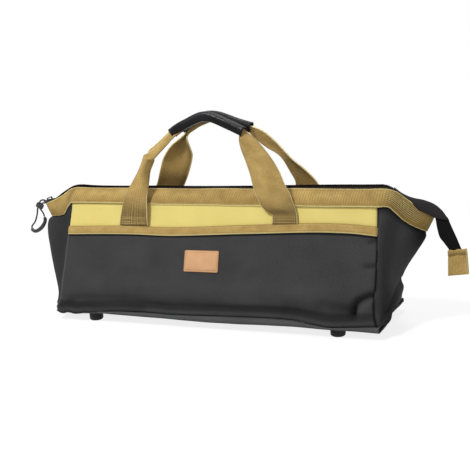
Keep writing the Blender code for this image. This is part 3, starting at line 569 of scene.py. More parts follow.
def webbing(name, kind, base, dark, light, darker_spans=(), fold_shade_lines=()):
    """Woven tape. The kind says which way its ribs run: long ones on the straps, short ones across
    the mouth bands, turning lengthwise on a folded end, and fine ones on the seam tape. A darker span
    darkens part of its length, painted shade on the straps and the wings: (share of its length where
    it starts to darken, share where it is darkest, how dark, and where it is plain again). A fold shade
    line is painted shade lengthwise where the tape is folded: its place and width as shares of the
    width, where along the tape it starts and ends, and how dark it is."""
    look = Cloth(name, "tan_webbing", 0.14, 0.04)
    u, v, share_u, share_v = look.u, look.v, look.share_u, look.share_v
    edge = abs(share_u - 0.5)
    fleck = look.noise(0.7)
    if kind == "long":
        rib, fine = u.stripes(1.9), (v + u * 0.8).stripes(0.8)
    elif kind == "cross":
        rib, fine = v.stripes(3.2), u.stripes(1.5)
    elif kind == "fold":
        turned = share_v.fit(0.66, 0.71)
        rib, fine = u.stripes(2.7) * turned + v.stripes(3.2) * (1.0 - turned), (v + u).stripes(1.5)
    else:
        rib, fine = v.stripes(1.3), u.stripes(1.2)
    thread = rib * (fine * 0.4 + 0.6)
    look.lay(look.noise(0.05).fit(0.25, 0.85), dark, base)
    look.lay((1.0 - thread) * 0.62, dark)
    for fade_from, darkest_at, depth, again in darker_spans:
        # The span's darkening: painted shade on the straps and the wings
        shade = share_v.fit(fade_from, darkest_at, 0.0, depth)
        if again < 1:
            shade = shade * share_v.fit(again, again + 0.06, 1.0, 0.0)
        shade = shade * fleck.fit(0.3, 0.6, 0.7, 1.0) * thread.fit(0.0, 1.0, 1.0, 0.65)
        look.lay(shade, tuple(c * 0.35 for c in dark[:3]) + (1.0,))
    for spot, width, start, end, depth in fold_shade_lines:
        # Painted shade in the strap's lengthwise fold
        line = abs(share_u - spot).fit(width * 0.35, width, depth, 0.0)
        line = line * share_v.fit(start, start + 0.04) * share_v.fit(end, end + 0.04, 1.0, 0.0)
        look.lay(line, tint(66, 46, 20))
    look.lay(fleck.fit(0.5, 0.8) * 0.35, light)
    if kind == "fold":
        # Painted highlight on the rib ridges and painted shade between them, where the wing's end turns
        rib_light_and_shade = turned * edge.fit(0.36, 0.33) * share_v.fit(0.85, 0.93, 1.0, 0.12)
        look.lay(rib_light_and_shade * rib.fit(0.55, 0.95, 0.0, 0.36), light)
        look.lay(rib_light_and_shade * rib.fit(0.45, 0.1, 0.0, 0.62), tint(52, 38, 18))
    if kind in ("cross", "fold"):
        look.lay(abs(edge - 0.385).fit(0.012, 0.035, 0.5, 0.0), dark)
        # Painted shade: the band darker towards its lower edge
        look.lay(share_u.fit(0.48, 0.2, 0.0, 0.3), dark)
        rim = edge.fit(0.455, 0.485)
    elif kind == "long":
        rim = edge.fit(0.468, 0.492)
    else:
        for spot, width, depth in ((0.97, 0.08, 0.75), (0.2, 0.07, 0.55)):
            look.lay(abs(share_u - spot).fit(width * 0.4, width, depth, 0.0), dark)
        rim = share_u.fit(0.13, 0.07)
    look.lay(rim * 0.8, light)
    return look.finish(fleck.fit(0.3, 0.7, 0.66, 0.85), thread + fleck * 0.5, 0.4)


def moulded(name, base, worn, rough, specular=0.5, metallic=0.0, grain=900.0, depth=0.05, slot=None):
    """Rubber, plastic or metal: fine grain, rubbed lighter in patches."""
    look = Look(name, slot or name, specular, metallic=metallic)
    look.where = add(look.tree, "TexCoord", out="Object")
    fine = look.noise(grain)
    look.lay(look.noise(45.0, 4.0).fit(0.42, 0.72), worn, base)
    return look.finish(fine.fit(0.3, 0.7, max(rough - 0.08, 0.03), min(rough + 0.1, 1.0)), fine, depth)


def leather_look(name):
    look = Cloth(name, name, 0.4)
    cells = add(look.tree, "TexVoronoi", {"Vector": look.where, "Scale": 1.1}, feature="DISTANCE_TO_EDGE")
    grain = cells.fit(0.0, 0.25)
    cloud = look.noise(0.05, 1.0)
    edge_u, edge_v = abs(look.share_u - 0.5), abs(look.share_v - 0.5)
    rim = calc(look.tree, "MAXIMUM", edge_u, edge_v - 0.008).fit(0.462, 0.497)
    look.lay(cloud.fit(0.3, 0.7), tint(220, 176, 132), tint(210, 162, 117))
    look.lay((1.0 - grain) * 0.3, tint(178, 112, 60))
    look.lay(rim * 0.6, tint(150, 92, 50))
    return look.finish(cloud.fit(0.3, 0.7, 0.5, 0.68), grain + look.noise(2.0), 0.12)


def tape_look(name, base, worn):
    """Zip tape: fine knit rows with a herringbone slant."""
    look = Cloth(name, "zip_tape", 0.12, 0.02)
    rows = (look.v + abs(look.u - 6.0)).stripes(1.0)
    fleck = look.noise(0.8)
    look.lay(rows * 0.5, worn, base)
    look.lay(fleck.fit(0.5, 0.8) * 0.4, worn)
    return look.finish(fleck.fit(0.3, 0.7, 0.7, 0.85), rows + fleck, 0.12)


def greys(*values):
    return [tint(value, value, value + 1) for value in values]


# Painted shade just under the seam tape, along the bottom and right seams and in the low fold; a painted
# highlight along the left seam
front_canvas = canvas("front_canvas", *greys(48, 58, 94), lines=(
    ("v", 0.956, 0.014, 0.85), ("v", 0.0, 0.012, 0.9), ("u", 1.0, 0.007, 0.95),
    ("v", 0.115, 0.075, 0.5), ("u", 0.0, 0.006, -0.6)))
# The left gusset's cloth: the canvas in darker greys as painted shade, with more painted shade spreading from
# its seam and under the wing
left_canvas_shaded = canvas("left_canvas_shaded", *greys(43, 52, 84), lines=(("u", 0.0, 0.9, 0.5), ("v", 1.0, 0.05, 0.6)))
# The right gusset's cloth: painted shade along the wall's seam, under the wing and in a broad band across it
right_canvas = canvas("right_canvas", *greys(48, 58, 94), lines=(
    ("u", 0.0, 0.022, 0.95), ("v", 1.0, 0.10, 0.85), ("u", 0.28, 0.2, 0.3)))
rim_canvas = canvas("rim_canvas", *greys(68, 79, 112))
# A painted shadow of the mouth band along its top; lighter lines along its left and right seams
yellow_canvas = canvas("yellow_canvas", tint(221, 200, 112), tint(229, 210, 124), tint(240, 227, 158),
                       "yellow_canvas", (("v", 0.975, 0.03, 0.45), ("u", 0.0, 0.006, -0.6),
                                         ("u", 1.0, 0.006, -0.6)))
strap_tints = tint(218, 186, 116), tint(150, 119, 62), tint(240, 224, 168)
# Painted shade towards each strap's root on the wall
strap_root_shade = ((0.32, 0.12, 0.95, 1),)
strap_webbing = webbing("strap_webbing", "long", *strap_tints, darker_spans=strap_root_shade)
# The front left strap's webbing, with painted shade in its lengthwise fold
bent_webbing = webbing("bent_webbing", "long", *strap_tints, darker_spans=strap_root_shade,
                       fold_shade_lines=((0.62, 0.17, 0.66, 0.93, 0.75), (0.5, 0.6, 0.585, 0.575, 0.5)))
# The rear left strap: painted shade over its lower part and in a band higher up
rear_webbing_shaded = webbing("rear_webbing_shaded", "long", *strap_tints,
                       darker_spans=((0.47, 0.35, 1.0, 1), (0.52, 0.64, 0.6, 0.74)))
# The rear right strap: the strap webbing in lighter tints as painted light on its upper part, with painted
# shade over its lower part
far_webbing_light_and_shade = webbing("far_webbing_light_and_shade", "long", tint(238, 206, 134), tint(170, 138, 78), tint(248, 236, 186),
                      darker_spans=((0.62, 0.55, 0.85, 1),))
tab_webbing = webbing("tab_webbing", "long", *strap_tints, darker_spans=((0.09, 0.05, 0.6, 1),))
band_tints = tint(206, 176, 106), tint(134, 105, 52), tint(236, 222, 156)
band_webbing = webbing("band_webbing", "cross", *band_tints)
# The left wing: painted shade in a narrow band at its crease
crease_webbing = webbing("crease_webbing", "cross", *band_tints, darker_spans=((0.61, 0.65, 0.5, 0.655),))
# The right wing: painted shade that deepens towards its tip
fold_webbing = webbing("fold_webbing", "fold", *band_tints, darker_spans=((0.2, 0.5, 0.2, 1), (0.64, 0.74, 0.62, 1)))
tape_webbing = webbing("tape_webbing", "fine", tint(220, 188, 118), tint(160, 128, 68), tint(240, 226, 160))
zip_tape = tape_look("zip_tape", tint(28, 22, 18), tint(54, 43, 35))
tail_tape = tape_look("tail_tape", tint(31, 29, 30), tint(60, 57, 57))
# The tail's hanging end: the tape in near-black tints, painted shade on its inner side
hanging_tape_shaded = tape_look("hanging_tape_shaded", tint(6, 6, 6), tint(14, 13, 13))
leather = leather_look("leather")
thread_tan = moulded("thread_tan", tint(206, 182, 112), tint(226, 208, 150), 0.7, depth=0.03,
                     slot="tan_webbing")
thread_brown = moulded("thread_brown", tint(150, 96, 54), tint(190, 136, 86), 0.65, depth=0.03,
                       slot="leather")
grip_vinyl = moulded("grip_vinyl", tint(10, 9, 11), tint(24, 23, 26), 0.34, 0.17, grain=320.0, depth=0.07)
foot_rubber = moulded("foot_rubber", tint(20, 20, 22), tint(38, 38, 40), 0.6, 0.25, grain=700.0)
board = moulded("board", tint(70, 64, 58), tint(96, 88, 78), 0.9, grain=400.0, depth=0.1)
steel = moulded("steel", tint(150, 150, 152), tint(196, 196, 198), 0.3, metallic=1.0, grain=1500.0, depth=0.02)
slider_metal = moulded("slider_metal", tint(40, 38, 40), tint(92, 88, 90), 0.28, metallic=1.0, depth=0.02)
coil = moulded("zip_coil", tint(26, 21, 18), tint(44, 37, 33), 0.85, 0.02, depth=0.02)
cord_black = moulded("cord", tint(24, 24, 26), tint(52, 52, 54), 0.7, grain=1600.0, depth=0.12)
pull_plastic = moulded("pull_plastic", tint(22, 22, 24), tint(46, 46, 50), 0.28, 0.55, depth=0.02)


# Making pieces

def new_piece(name, mesh, look):
    made = bpy.data.objects.new(name, mesh)
    bpy.context.scene.collection.objects.link(made)
    mesh.materials.append(look)
    mesh.shade_smooth()
    return made


def mesh_of(name, points, faces):
    mesh = bpy.data.meshes.new(name)
    mesh.from_pydata([place(p) for p in points], [], faces)
    return mesh


def thicken(piece, thickness, offset=-1.0):
    thick = piece.modifiers.new("thickness", "SOLIDIFY")
    thick.thickness = thickness * MM
    thick.offset = offset


def sheet_piece(name, rows, look, thickness, flip=False, offset=-1.0, shade=None):
    """Cloth through rows of points, thickened inward, with its own size as its coordinates and, where
    it folds, how much painted shade each point has."""
    high, wide = len(rows), len(rows[0])
    faces = []
    for r in range(high - 1):
        for c in range(wide - 1):
            corner = r * wide + c
            face = (corner, corner + 1, corner + wide + 1, corner + wide)
            faces.append(face[::-1] if flip else face)
    mesh = mesh_of(name, [p for row in rows for p in row], faces)
    across = lengths([Vector(p) for p in rows[high // 2]])
    down = lengths([Vector(row[wide // 2]) for row in rows])
    layers = {"size": lambda r, c: (across[c], down[r]),
              "share": lambda r, c: (across[c] / across[-1], down[r] / down[-1])}
    if shade:
        layers["shade"] = lambda r, c: (shade[r][c], 0.0)
    for layer, value in layers.items():
        data = mesh.uv_layers.new(name=layer).data
        for loop in mesh.loops:
            data[loop.index].uv = value(*divmod(loop.vertex_index, wide))
    made = new_piece(name, mesh, look)
    thicken(made, thickness, offset)
    return made


def tube_faces(count, sides, first=0, turned=False):
    """The faces between rings of points, from the first point on."""
    faces = []
    for i in range(count - 1):
        for k in range(sides):
            a = first + i * sides + k
            b = first + i * sides + (k + 1) % sides
            faces.append((a, a + sides, b + sides, b) if turned else (a, b, b + sides, a + sides))
    return faces


def tube_piece(name, paths, look, radius, squash=1.0, taper=True):
    """Short tubes, one for each path of (point, side vector, up vector)."""
    points, faces = [], []
    sides = 6
    for path in paths:
        first, count = len(points), len(path)
        for i, (p, side, up) in enumerate(path):
            size = radius * (math.sin(math.pi * (0.12 + 0.76 * (i / (count - 1)))) ** 0.5 if taper else 1.0)
            for k in range(sides):
                angle = 2 * math.pi * k / sides
                points.append(p + side * (math.cos(angle) * size) + up * (math.sin(angle) * size * squash))
        faces += tube_faces(count, sides, first)
        faces.append(tuple(first + k for k in reversed(range(sides))))
        faces.append(tuple(first + (count - 1) * sides + k for k in range(sides)))
    return new_piece(name, mesh_of(name, points, faces), look)


def stitch_piece(name, line, look=thread_tan, pitch=2.9, length=2.0, radius=0.26):
    """Thread along a line of (point, outward direction), one raised stitch for each pitch."""
    spots = [Vector(p) for p, _ in line]
    run = lengths(spots)

    def at(distance):
        distance = min(max(distance, 0.0), run[-1])
        i, share = between(run, distance)
        out = mix(Vector(line[i][1]), Vector(line[i + 1][1]), share).normalized()
        return mix(spots[i], spots[i + 1], share), out

    paths = []
    count = max(int(run[-1] / pitch), 1)
    for k in range(count):
        centre = (k + 0.5) * run[-1] / count
        path = []
        for share in (-0.5, -0.25, 0.25, 0.5):
            p, out = at(centre + share * length)
            ahead = (at(centre + length)[0] - at(centre - length)[0]).normalized()
            p = p + out * (radius * 0.6 - (0.5 if abs(share) > 0.4 else 0))
            path.append((p, out.cross(ahead).normalized(), out))
        paths.append(path)
    return tube_piece(name, paths, look, radius, 0.8)


def normal_line(surface, spots, lift):
    """Points on a surface at (a, b) spots, raised by lift, with the way out at each."""
    line = []
    for a, b in spots:
        low = surface(a, b, lift)
        high = surface(a, b, lift + 1.0)
        line.append((low, (high - low).normalized()))
    return line


def half_blend(piece, low_corner, high_corner, base_middle, tip):
    """Works out the slope of a share that is 1 at the seam's two corners and 0 at the fold, and the
    line from the tip along it, but puts none of it on the piece: its transform is only baked into its mesh."""
    rows = Matrix([(*p, 1.0) for p in (low_corner, high_corner, base_middle, tip)])
    slope = rows.inverted() @ Vector((1, 1, 0, 0))
    gradient = Vector(slope[:3])
    start = Vector(tip)
    finish = start + gradient / gradient.length_squared
    tuple(place(start))
    tuple(place(finish))
    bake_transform(piece)


def gusset_blend(piece, end, side):
    half_blend(piece, (end * base_half, side * base_depth_half, wall_foot),
               (end * mouth_half, side * wall_top_half, wall_top), (end * base_half, 0, wall_foot),
               wing_low[end][-1])


def band_blend(piece, end, side):
    half_blend(piece, (end * mouth_half, side * wall_top_half, wall_top),
               (end * mouth_half, side * 6, 166), wing_low[end][-1], wing_high[end][-1])


# Base: a shallow tray of canvas whose rolled edge meets the walls in the bottom seam

def base_rim(side, x):
    """The base's front or rear edge, from under the bag up to the seam."""
    top = wall_point(side, x, level(bottom_seam, x) - 0.3, 0.2)
    low = level(base_edge, x) if side < 0 else base_bottom - 0.8
    low = min(low + 0.3 * ripple(x, 0, 11 + side, 34), top.z - 0.5)
    edge = ((-12, base_bottom + 0.1), (-5.0, mix(base_bottom, low, 0.7)), (-1.6, low), (-0.1, low + 0.7),
            (0.7, min(low + 1.9, mix(low, top.z, 0.7))),
            (0.5, max(mix(low + 1.9, top.z, 0.55), mix(low, top.z, 0.85))))
    return [Vector((x, side * (base_depth_half + past), z)) for past, z in edge] + [top]


def base_end(end, y):
    """How far the base's end stands past its own straight edge at y."""
    spots = [gusset_section(end, 1 - run, 0.01, 1 if y > 0 else -1) for run in shares(17)]
    return level([(spot.y, spot.x - base_half) for spot in spots], abs(y))


def build_base():
    rows = []
    steps = 96
    for i in range(steps + 3):
        x = mix(-base_half, base_half, min(max(i - 1, 0), steps) / steps)
        inner = [Vector((x, y, base_bottom + 0.15 + 0.5 * ripple(x, y, 12, 60)))
                 for y in (-44, -28, -12, 0, 12, 28, 44)]
        row = base_rim(-1, x)[::-1] + inner + base_rim(1, x)
        end = -1 if x < 0 else 1
        for p in row:
            p.x += end * base_end(end, p.y) * ease((abs(x) - 165) / 50)
            if end < 0 and p.y < -60 and p is not row[0]:
                p.x -= 2.2 * ease((-x - 192) / 18)
            if i in (0, steps + 2):
                p.x += end * 1.2
                p.z += 2.2 if abs(p.y) < base_depth_half - 2 else 0.3
        rows.append(row)
    piece = sheet_piece("base_cloth", rows, rim_canvas, base_thick, flip=True)
    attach(piece, "shell")
    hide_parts("base_panel")


build_base()


# Walls

# Where each mouth band ends and the wings' webbing goes on, under the straps
band_join = {-1: (-105.0, 85.0), 1: (-100.0, 100.0)}


def build_wall(side):
    face = face_of[side]
    body = face + "_wall"
    flip = side > 0

    def sew(label, surface, rows):
        for k, row in enumerate(rows):
            spots = [(mix(-stitch_half, stitch_half, s), row) for s in shares(wall_steps)]
            thread = stitch_piece(f"{face}_{label}_stitch_{k}", normal_line(surface, spots, 0.1))
            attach(thread, body)

    def lower_spot(across, up):
        across *= 1.0 + 0.06 * (1 - across * across)
        x = across * (base_half - 3.0)
        h = mix(level(bottom_seam, across * base_half) + 0.2, level(seam_tape_low, x) + 3.5, up)
        return across * (half_width(h) - 0.3), h

    spots = [[lower_spot(mix(-1, 1, s), up) for s in shares(wall_steps)] for up in shares(40)]
    dark = [[wall_painted_shade(side, x, h) for x, h in row] for row in spots]
    rows = [[wall_point(side, x, h) for x, h in row] for row in spots]
    lower = sheet_piece(face + "_lower_cloth", rows, front_canvas, lower_thick, flip, shade=dark)
    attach(lower, body)
    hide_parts(face + "_lower_panel")

    def upper_point(across, up):
        top = (level(mouth_foot, across * mouth_half) + 1.2 - wall_foot) / math.cos(wall_lean)
        h = mix(level(seam_tape_low, across * mouth_half) + 1.0, top, up)
        x = across * (half_width(h) - 0.2 + (0.9 if across > 0 else 0) * ease((h - 100) / 40))
        sag = 0.35 * ripple(x, h, 6.5 + side, 26)
        return wall_point(side, x, h, (sag - 0.4) * ease((top - h) / 10) - 0.5)

    rows = [[upper_point(mix(-1, 1, s), up) for s in shares(121)] for up in shares(17)]
    upper = sheet_piece(face + "_upper_cloth", rows, yellow_canvas, upper_thick, flip)
    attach(upper, body)
    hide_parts(face + "_upper_panel")

    def tape_point(x, up, lift=0.0):
        near_root = max(max(ease((24 - abs(x - root)) / 6) for root in root_middles), 0.0)
        crown = 0.7 * math.sin(math.pi * up / tape_width)
        high = ease((up - 6) / 4)
        return wall_point(side, x, level(seam_tape_low, x) + up, lift + 1.0 + crown + 1.0 * near_root * high)

    tape_half = half_width(tape_low) - 1.0
    rows = [[tape_point(mix(-1, 1, s) * tape_half, tape_width * up) for up in shares(9)]
            for s in shares(wall_steps)]
    tape = sheet_piece(face + "_seam_webbing", rows, tape_webbing, seam_thick, not flip)
    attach(tape, body)
    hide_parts(face + "_seam_tape")
    sew("tape", tape_point, (1.6, tape_width - 1.6))

    rows = [[band_point(side, mix(*band_join[side], s), share) for share in shares(band_steps)]
            for s in shares(81)]
    band = sheet_piece(face + "_mouth_webbing", rows, band_webbing, band_thick, not flip)
    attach(band, body)
    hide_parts(face + "_mouth_band")

    sew("band", lambda x, share, lift: band_point(side, x, share, lift), band_stitches)


for wall_side in (-1, 1):
    build_wall(wall_side)


# Ends

def build_end(end):
    label = label_of[end]
    gussets, bands = [], []
    for side in (-1, 1):
        face = face_of[side]
        flip = (end < 0) != (side > 0)
        heights = [mix(0.005, 1.0, s) for s in shares(45)]
        rows = [[gusset_point(end, side, run, height) for run in shares(gusset_steps)] for height in heights]
        rows.append([p + Vector((-end * 1.0, -side * 1.4 if abs(p.y) > 1.5 else 0, 4.0)) for p in rows[-1]])
        dark = [[gusset_painted_shade(end, run, height) for run in shares(gusset_steps)] for height in heights + [1.0]]
        look = left_canvas_shaded if end < 0 else right_canvas
        piece = sheet_piece(f"gusset_{label}_{face}", rows, look, gusset_thick, flip, shade=dark)
        gusset_blend(piece, end, side)
        gussets.append(piece)

        join = band_join[side][0 if end < 0 else 1]
        rows = [[band_point(side, mix(join, end * mouth_half, i / 40), share, 0.3 * ease(i / 20 - 1))
                 for share in shares(band_steps)] for i in range(40)]
        rows += [[wing_point(end, side, run, share, 1.0) for share in shares(band_steps)] for run in shares(41)]
        look = fold_webbing if end > 0 else crease_webbing
        piece = sheet_piece(f"wing_webbing_{label}_{face}", rows, look, band_thick, flip)
        band_blend(piece, end, side)
        bands.append(piece)
        for k, share in enumerate(band_stitches):
            spots = [(mix(0.03, 0.93, s), share) for s in shares(41)]
            line = normal_line(lambda a, b, up: wing_point(end, side, a, b, up), spots, 1.15)
            thread = stitch_piece(f"wing_stitch_{label}_{face}_{k}", line)
            band_blend(thread, end, side)
    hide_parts("gusset_" + label)
    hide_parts("wing_band_" + label)


for wing_end in (-1, 1):
    build_end(wing_end)


# Zip: tape that climbs from the band's edge to the ridge, and a coil along the ridge
left_ridge = (
    (-209, 0, 172.2), (-216, 0, 171.8), (-223.5, 0, 169.6), (-232, 0, 165.4), (-240.2, 0, 160.8),
    (-252, 0, 153.6), (-260, 0, 150.3), (-265.5, 0, 148.2),
)
right_ridge = (
    (209, 0, 170.4), (214, 0, 169.4), (218.2, 0, 167.6), (223, 0, 164.8), (228.7, 0, 160.9), (234, 0, 156.9),
    (240.2, 0, 152.6),
)


def tape_row(edge, ridge, side):
    """One cross-section of the tape, from under the band to the ridge."""
    top = Vector((ridge[0], side * 0.25, ridge[2] - 0.7))
    low = Vector((edge[0], side * abs(edge[1]), edge[2]))
    under = low + Vector((0, side * 2.2, -2.2))
    mid = mix(low, top, 0.5) + Vector((0, side * 0.5, 0.5))
    return [under, low + Vector((0, -side * 0.1, -0.2)), mid, mix(mid, top, 0.55), top]


def coil_piece(name, line, side):
    """One half of the coil: a bent loop of wire for each pitch, meshed with the other half's."""
    wire = ((-0.25, 2.7, -1.3), (-0.12, 0.9, -0.9), (0.0, -0.45, -0.5), (0.1, 0.8, 0.05), (0.3, 2.6, -0.35))
    spots = [Vector(p) for p in line]
    run = lengths(spots)
    across = Vector((0, side, 0))
    paths = []
    for k in range(int(run[-1] / coil_pitch)):
        distance = (k + (0.5 if side > 0 else 0.0) + 0.2) * coil_pitch
        if distance > run[-1]:
            break
        i, share = between(run, distance)
        p = mix(spots[i], spots[i + 1], share)
        ahead = (spots[i + 1] - spots[i]).normalized()
        up = upward(across, ahead)
        paths.append([(p + ahead * a * coil_pitch + across * c + up * (u - 0.1), ahead, up)
                      for a, c, u in wire])
    return tube_piece(name, paths, coil, coil_radius, taper=False)


def ridge_at(x):
    return (x, 0, level(mouth_edge, x) + level(ridge_rise, x) + 0.4)


def build_zip(side):
    face = face_of[side]
    body = face + "_wall"
    xs = [mix(-mouth_half, mouth_half, s) for s in shares(wall_steps)]
    rows = [tape_row(band_point(side, x, 1.0, -1.0), ridge_at(x), side) for x in xs]
    piece = sheet_piece(face + "_zip_tape", rows, zip_tape, zip_thick, side < 0)
    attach(piece, body)
    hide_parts("zip_tape_" + face)
    piece = coil_piece(face + "_zip_coil", [ridge_at(x) for x in xs], side)
    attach(piece, body)
    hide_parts("zip_chain_" + face)

    for end, ridge, last in ((-1, left_ridge, 0.95), (1, right_ridge, 0.6)):
        label = label_of[end]
        rows = [tape_row(wing_point(end, side, share * last, 1.0, -0.6), smooth(ridge, share), side)
                for share in shares(31)]
        flip = (side < 0) != (end < 0)
        piece = sheet_piece(f"wing_zip_tape_{label}_{face}", rows, zip_tape, zip_thick, flip)
        band_blend(piece, end, side)
        if side < 0:
            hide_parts("wing_zip_tape_" + label)
        piece = coil_piece(f"wing_zip_coil_{label}_{face}", along(ridge, 31), side)
        band_blend(piece, end, side)
        if side < 0:
            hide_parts("wing_zip_chain_" + label)


for wall_side in (-1, 1):
    build_zip(wall_side)


# Handles. Each section of a strap is (x, z, offset toward its own side) for its left edge, its middle
# and its right edge, from its root on the wall to the grip
front_left = (
    ((-130.5, 123.4, 0), (-109.8, 123.4, 0), (-89.2, 123.4, 0)),
    ((-130.2, 133, 0), (-109.8, 133, 1.5), (-89.5, 133, 3)),
    ((-129, 141.3, 1), (-109.4, 141.3, 3.5), (-89.6, 141.3, 5)),
    ((-126.8, 151, 2), (-108.4, 151.5, 4), (-90.2, 151, 5)),
    ((-123.5, 161, 2.5), (-106.8, 162, 4), (-91, 162, 3.5)),
    ((-118.8, 172.5, -2), (-104, 175, 4), (-92.3, 175, -3)),
    ((-109.2, 192, -6), (-100, 193, 5), (-92.4, 191, -6)),
    ((-104, 203, -5), (-95.5, 201.5, 6), (-88.6, 199.5, -5)),
    ((-99.6, 211.2, -1), (-90.5, 206.5, 6), (-86.8, 207, -5)),
    ((-93.5, 214, 2.5), (-82.8, 207.6, 5), (-94.5, 215.8, -4)),
    ((-81.8, 220.8, 2), (-74, 215.2, 5), (-84.5, 224.4, -4.5)),
    ((-71.6, 229.2, 2), (-65.5, 223.2, 5), (-74.5, 232.6, -4.5)),
    ((-59.6, 239.6, 2), (-53.6, 235, 4), (-62, 242.6, -4)),
    ((-52, 246.5, 4), (-46, 240.5, 0), (-53, 248, -3.5)),
)
front_right = (
    ((81, 127.6, 0), (97, 127.6, 0), (113, 127.6, 0)),
    ((81, 133, 0), (97, 133, 0), (112.6, 133, 0)),
    ((79.5, 139.5, 0.5), (96, 140, 1), (111.5, 140, 0.5)),
    ((70, 145.6, 3), (90, 146, 5), (109.5, 146, 1)),
    ((61, 158, 2), (82, 160, 4), (103, 162, 1)),
    ((55.3, 171.8, 2), (75, 174, 6), (95.6, 175.1, 2)),
    ((49.5, 188, 0), (68.5, 190, 5), (88.4, 188, 0)),
    ((41.5, 205.3, -2), (60.5, 205.5, 4), (78.8, 201.5, -2)),
    ((35.6, 216, -5), (50, 218.5, 4), (64, 217.6, -5)),
    ((32.4, 227, -5), (42, 230, 3), (51, 230.5, -5)),
    ((33.5, 234.5, -3), (38, 237.5, 2), (42.5, 236.5, -4)),
    ((33.5, 241, -2), (35, 242.5, 2), (37, 243, -3)),
)
rear_left = (
    ((-130.5, 124.6, 0), (-111.5, 124.6, 0), (-92.5, 124.6, 0)),
    ((-130.2, 133, 0), (-111.2, 133, 0), (-92, 133, 0)),
    ((-127.5, 141.3, 0), (-107, 141.3, 0), (-86.5, 141.3, 0)),
    ((-120, 154, 1), (-97.5, 154, 3), (-76, 154, 1)),
    ((-107.8, 167.8, 2), (-87, 168, 5), (-65.7, 167.6, 2)),
    ((-98, 188, 1), (-76, 189, 6), (-54, 188, 1)),
    ((-89.9, 203.9, 0), (-68, 206, 6), (-46, 207.2, 0)),
    ((-80, 215, -2), (-63, 217, 5), (-46.5, 218, -2)),
    ((-70, 223.3, -4), (-59, 226, 4), (-47.5, 226, -4)),
    ((-59, 230, -4), (-53.5, 232, 3), (-47.8, 231.5, -4)),
    ((-52.5, 235.5, -1), (-49.5, 235.8, 1), (-47, 234.8, -1)),
    ((-45.5, 241.5, 0), (-44.3, 239.6, 0), (-43, 237.7, 0)),
    ((-38, 245.6, 0), (-37, 243.5, 0), (-35.9, 241.4, 0)),
    ((-30.5, 249.2, 0), (-29.4, 247.2, 0), (-28.3, 245.2, 0)),
    ((-22, 252.2, 0), (-21, 250.1, 0), (-20.2, 248, 0)),
    ((-13.5, 254, 0), (-13, 252.2, 0), (-12.6, 250.6, 0)),
)
rear_right = (
    ((73.5, 124.6, 0), (92.5, 124.6, 0), (111.5, 124.6, 0)),
    ((74, 133, 0), (92.8, 133, 0), (111.5, 133, 0)),
    ((78, 141.3, 0), (96.5, 141.3, 0), (115.5, 141.3, 0)),
    ((87, 157, 1), (105, 157, 3), (123, 158, 1)),
    ((91.1, 169.7, 2), (105, 171, 4), (119.2, 171.5, 1)),
    ((85, 184, 3), (95, 187, 4), (106, 187.5, -1)),
    ((77, 200.5, 3), (84.5, 202.5, 2), (92, 200.5, -3)),
    ((70, 208, 3), (76.5, 211, 1.5), (82, 213, -4)),
    ((58, 215.5, 3), (65.5, 220.5, 1), (72.3, 224.5, -4)),
    ((46.5, 225.5, 3), (53, 231, 0), (58.6, 237, -4)),
    ((38, 234.5, 3), (42.5, 238.8, 0), (46, 242.6, -3)),
    ((31, 240, 2), (34, 242.4, 0), (37, 244.6, -2)),
)


def handle_plane(z):
    return 31.6 - 23.6 * (z - 139) / 113


def strap_rows(sections, side):
    rails = [[], [], []]
    for section in sections:
        for rail, (x, z, out) in zip(rails, section):
            y = wall_y_at(z) + 2.2 if z < handle_hinge else handle_plane(z)
            rail.append((x, side * (y + out), z))
    knots = knots_of(rails[1])
    rows = []
    for share in shares(73):
        left, centre, right = [smooth(rail, share, knots) for rail in rails]
        rows.append([left * ((1 - w) * (1 - 2 * w)) + centre * (4 * w * (1 - w)) + right * (w * (2 * w - 1))
                     for w in shares(band_steps)])
    return rows


def turn_with_handle(piece, side):
    y = side * hinge_half
    tuple(place((0, y, handle_hinge - 6)))
    tuple(place((0, y, handle_hinge + 6)))
    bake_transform(piece)


def build_strap(name, sections, side, root, look):
    rows = strap_rows(sections, side)
    piece = sheet_piece(name, rows, look, strap_thick, side > 0, 0.0)
    turn_with_handle(piece, side)
    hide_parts(root)
    label = name.replace("strap", "root_stitch")
    foot = rows[0][6].z
    out = Vector((0, side * math.cos(wall_lean), math.sin(wall_lean)))
    for k, rise in enumerate((2.2, 4.8, 7.4, 10.0)):
        z = foot + rise
        row = min(rows, key=lambda r: abs(r[6].z - z))
        line = []
        for share in shares(17):
            index = mix(0.7, 11.3, share)
            i = int(index)
            p = mix(row[i], row[i + 1], index - i)
            line.append((p + out * 0.95 + Vector((0, 0, 0.5 * ripple(p.x, z, 4, 6))), out))
        thread = stitch_piece(f"{label}_{k}", line, thread_tan, 2.7, 1.9, 0.27)
        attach(thread, face_of[side] + "_wall")
    return piece


strap_fl = build_strap("front_left_strap", front_left, -1, "front_strap_root_left", bent_webbing)
build_strap("front_right_strap", front_right, -1, "front_strap_root_right", strap_webbing)
strap_rl = build_strap("rear_left_strap", rear_left, 1, "rear_strap_root_left", rear_webbing_shaded)
build_strap("rear_right_strap", rear_right, 1, "rear_strap_root_right", far_webbing_light_and_shade)
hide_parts("handle_strap_front")
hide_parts("handle_strap_rear")


# Grips: a vinyl sleeve rolled round the doubled strap, its long edges folded under. The lines are
# (x, z) in the handle's plane.
front_grip = (
    (-58.5, 239.2), (-53, 243), (-46, 247), (-36.5, 251.2), (-27, 255.2), (-18, 257.8), (-11, 258),
    (-3, 256.4), (6, 253), (15, 249), (26, 244.2), (35, 240), (39.5, 237.8),
)
rear_grip = (
    (-53, 243.4), (-49, 245.8), (-43.3, 249.2), (-35.9, 252.8), (-28.5, 255.8), (-20, 257.9), (-10, 258.3),
    (0, 256.6), (11, 252.6), (23, 248), (33, 244.6), (41.5, 241.8),
)


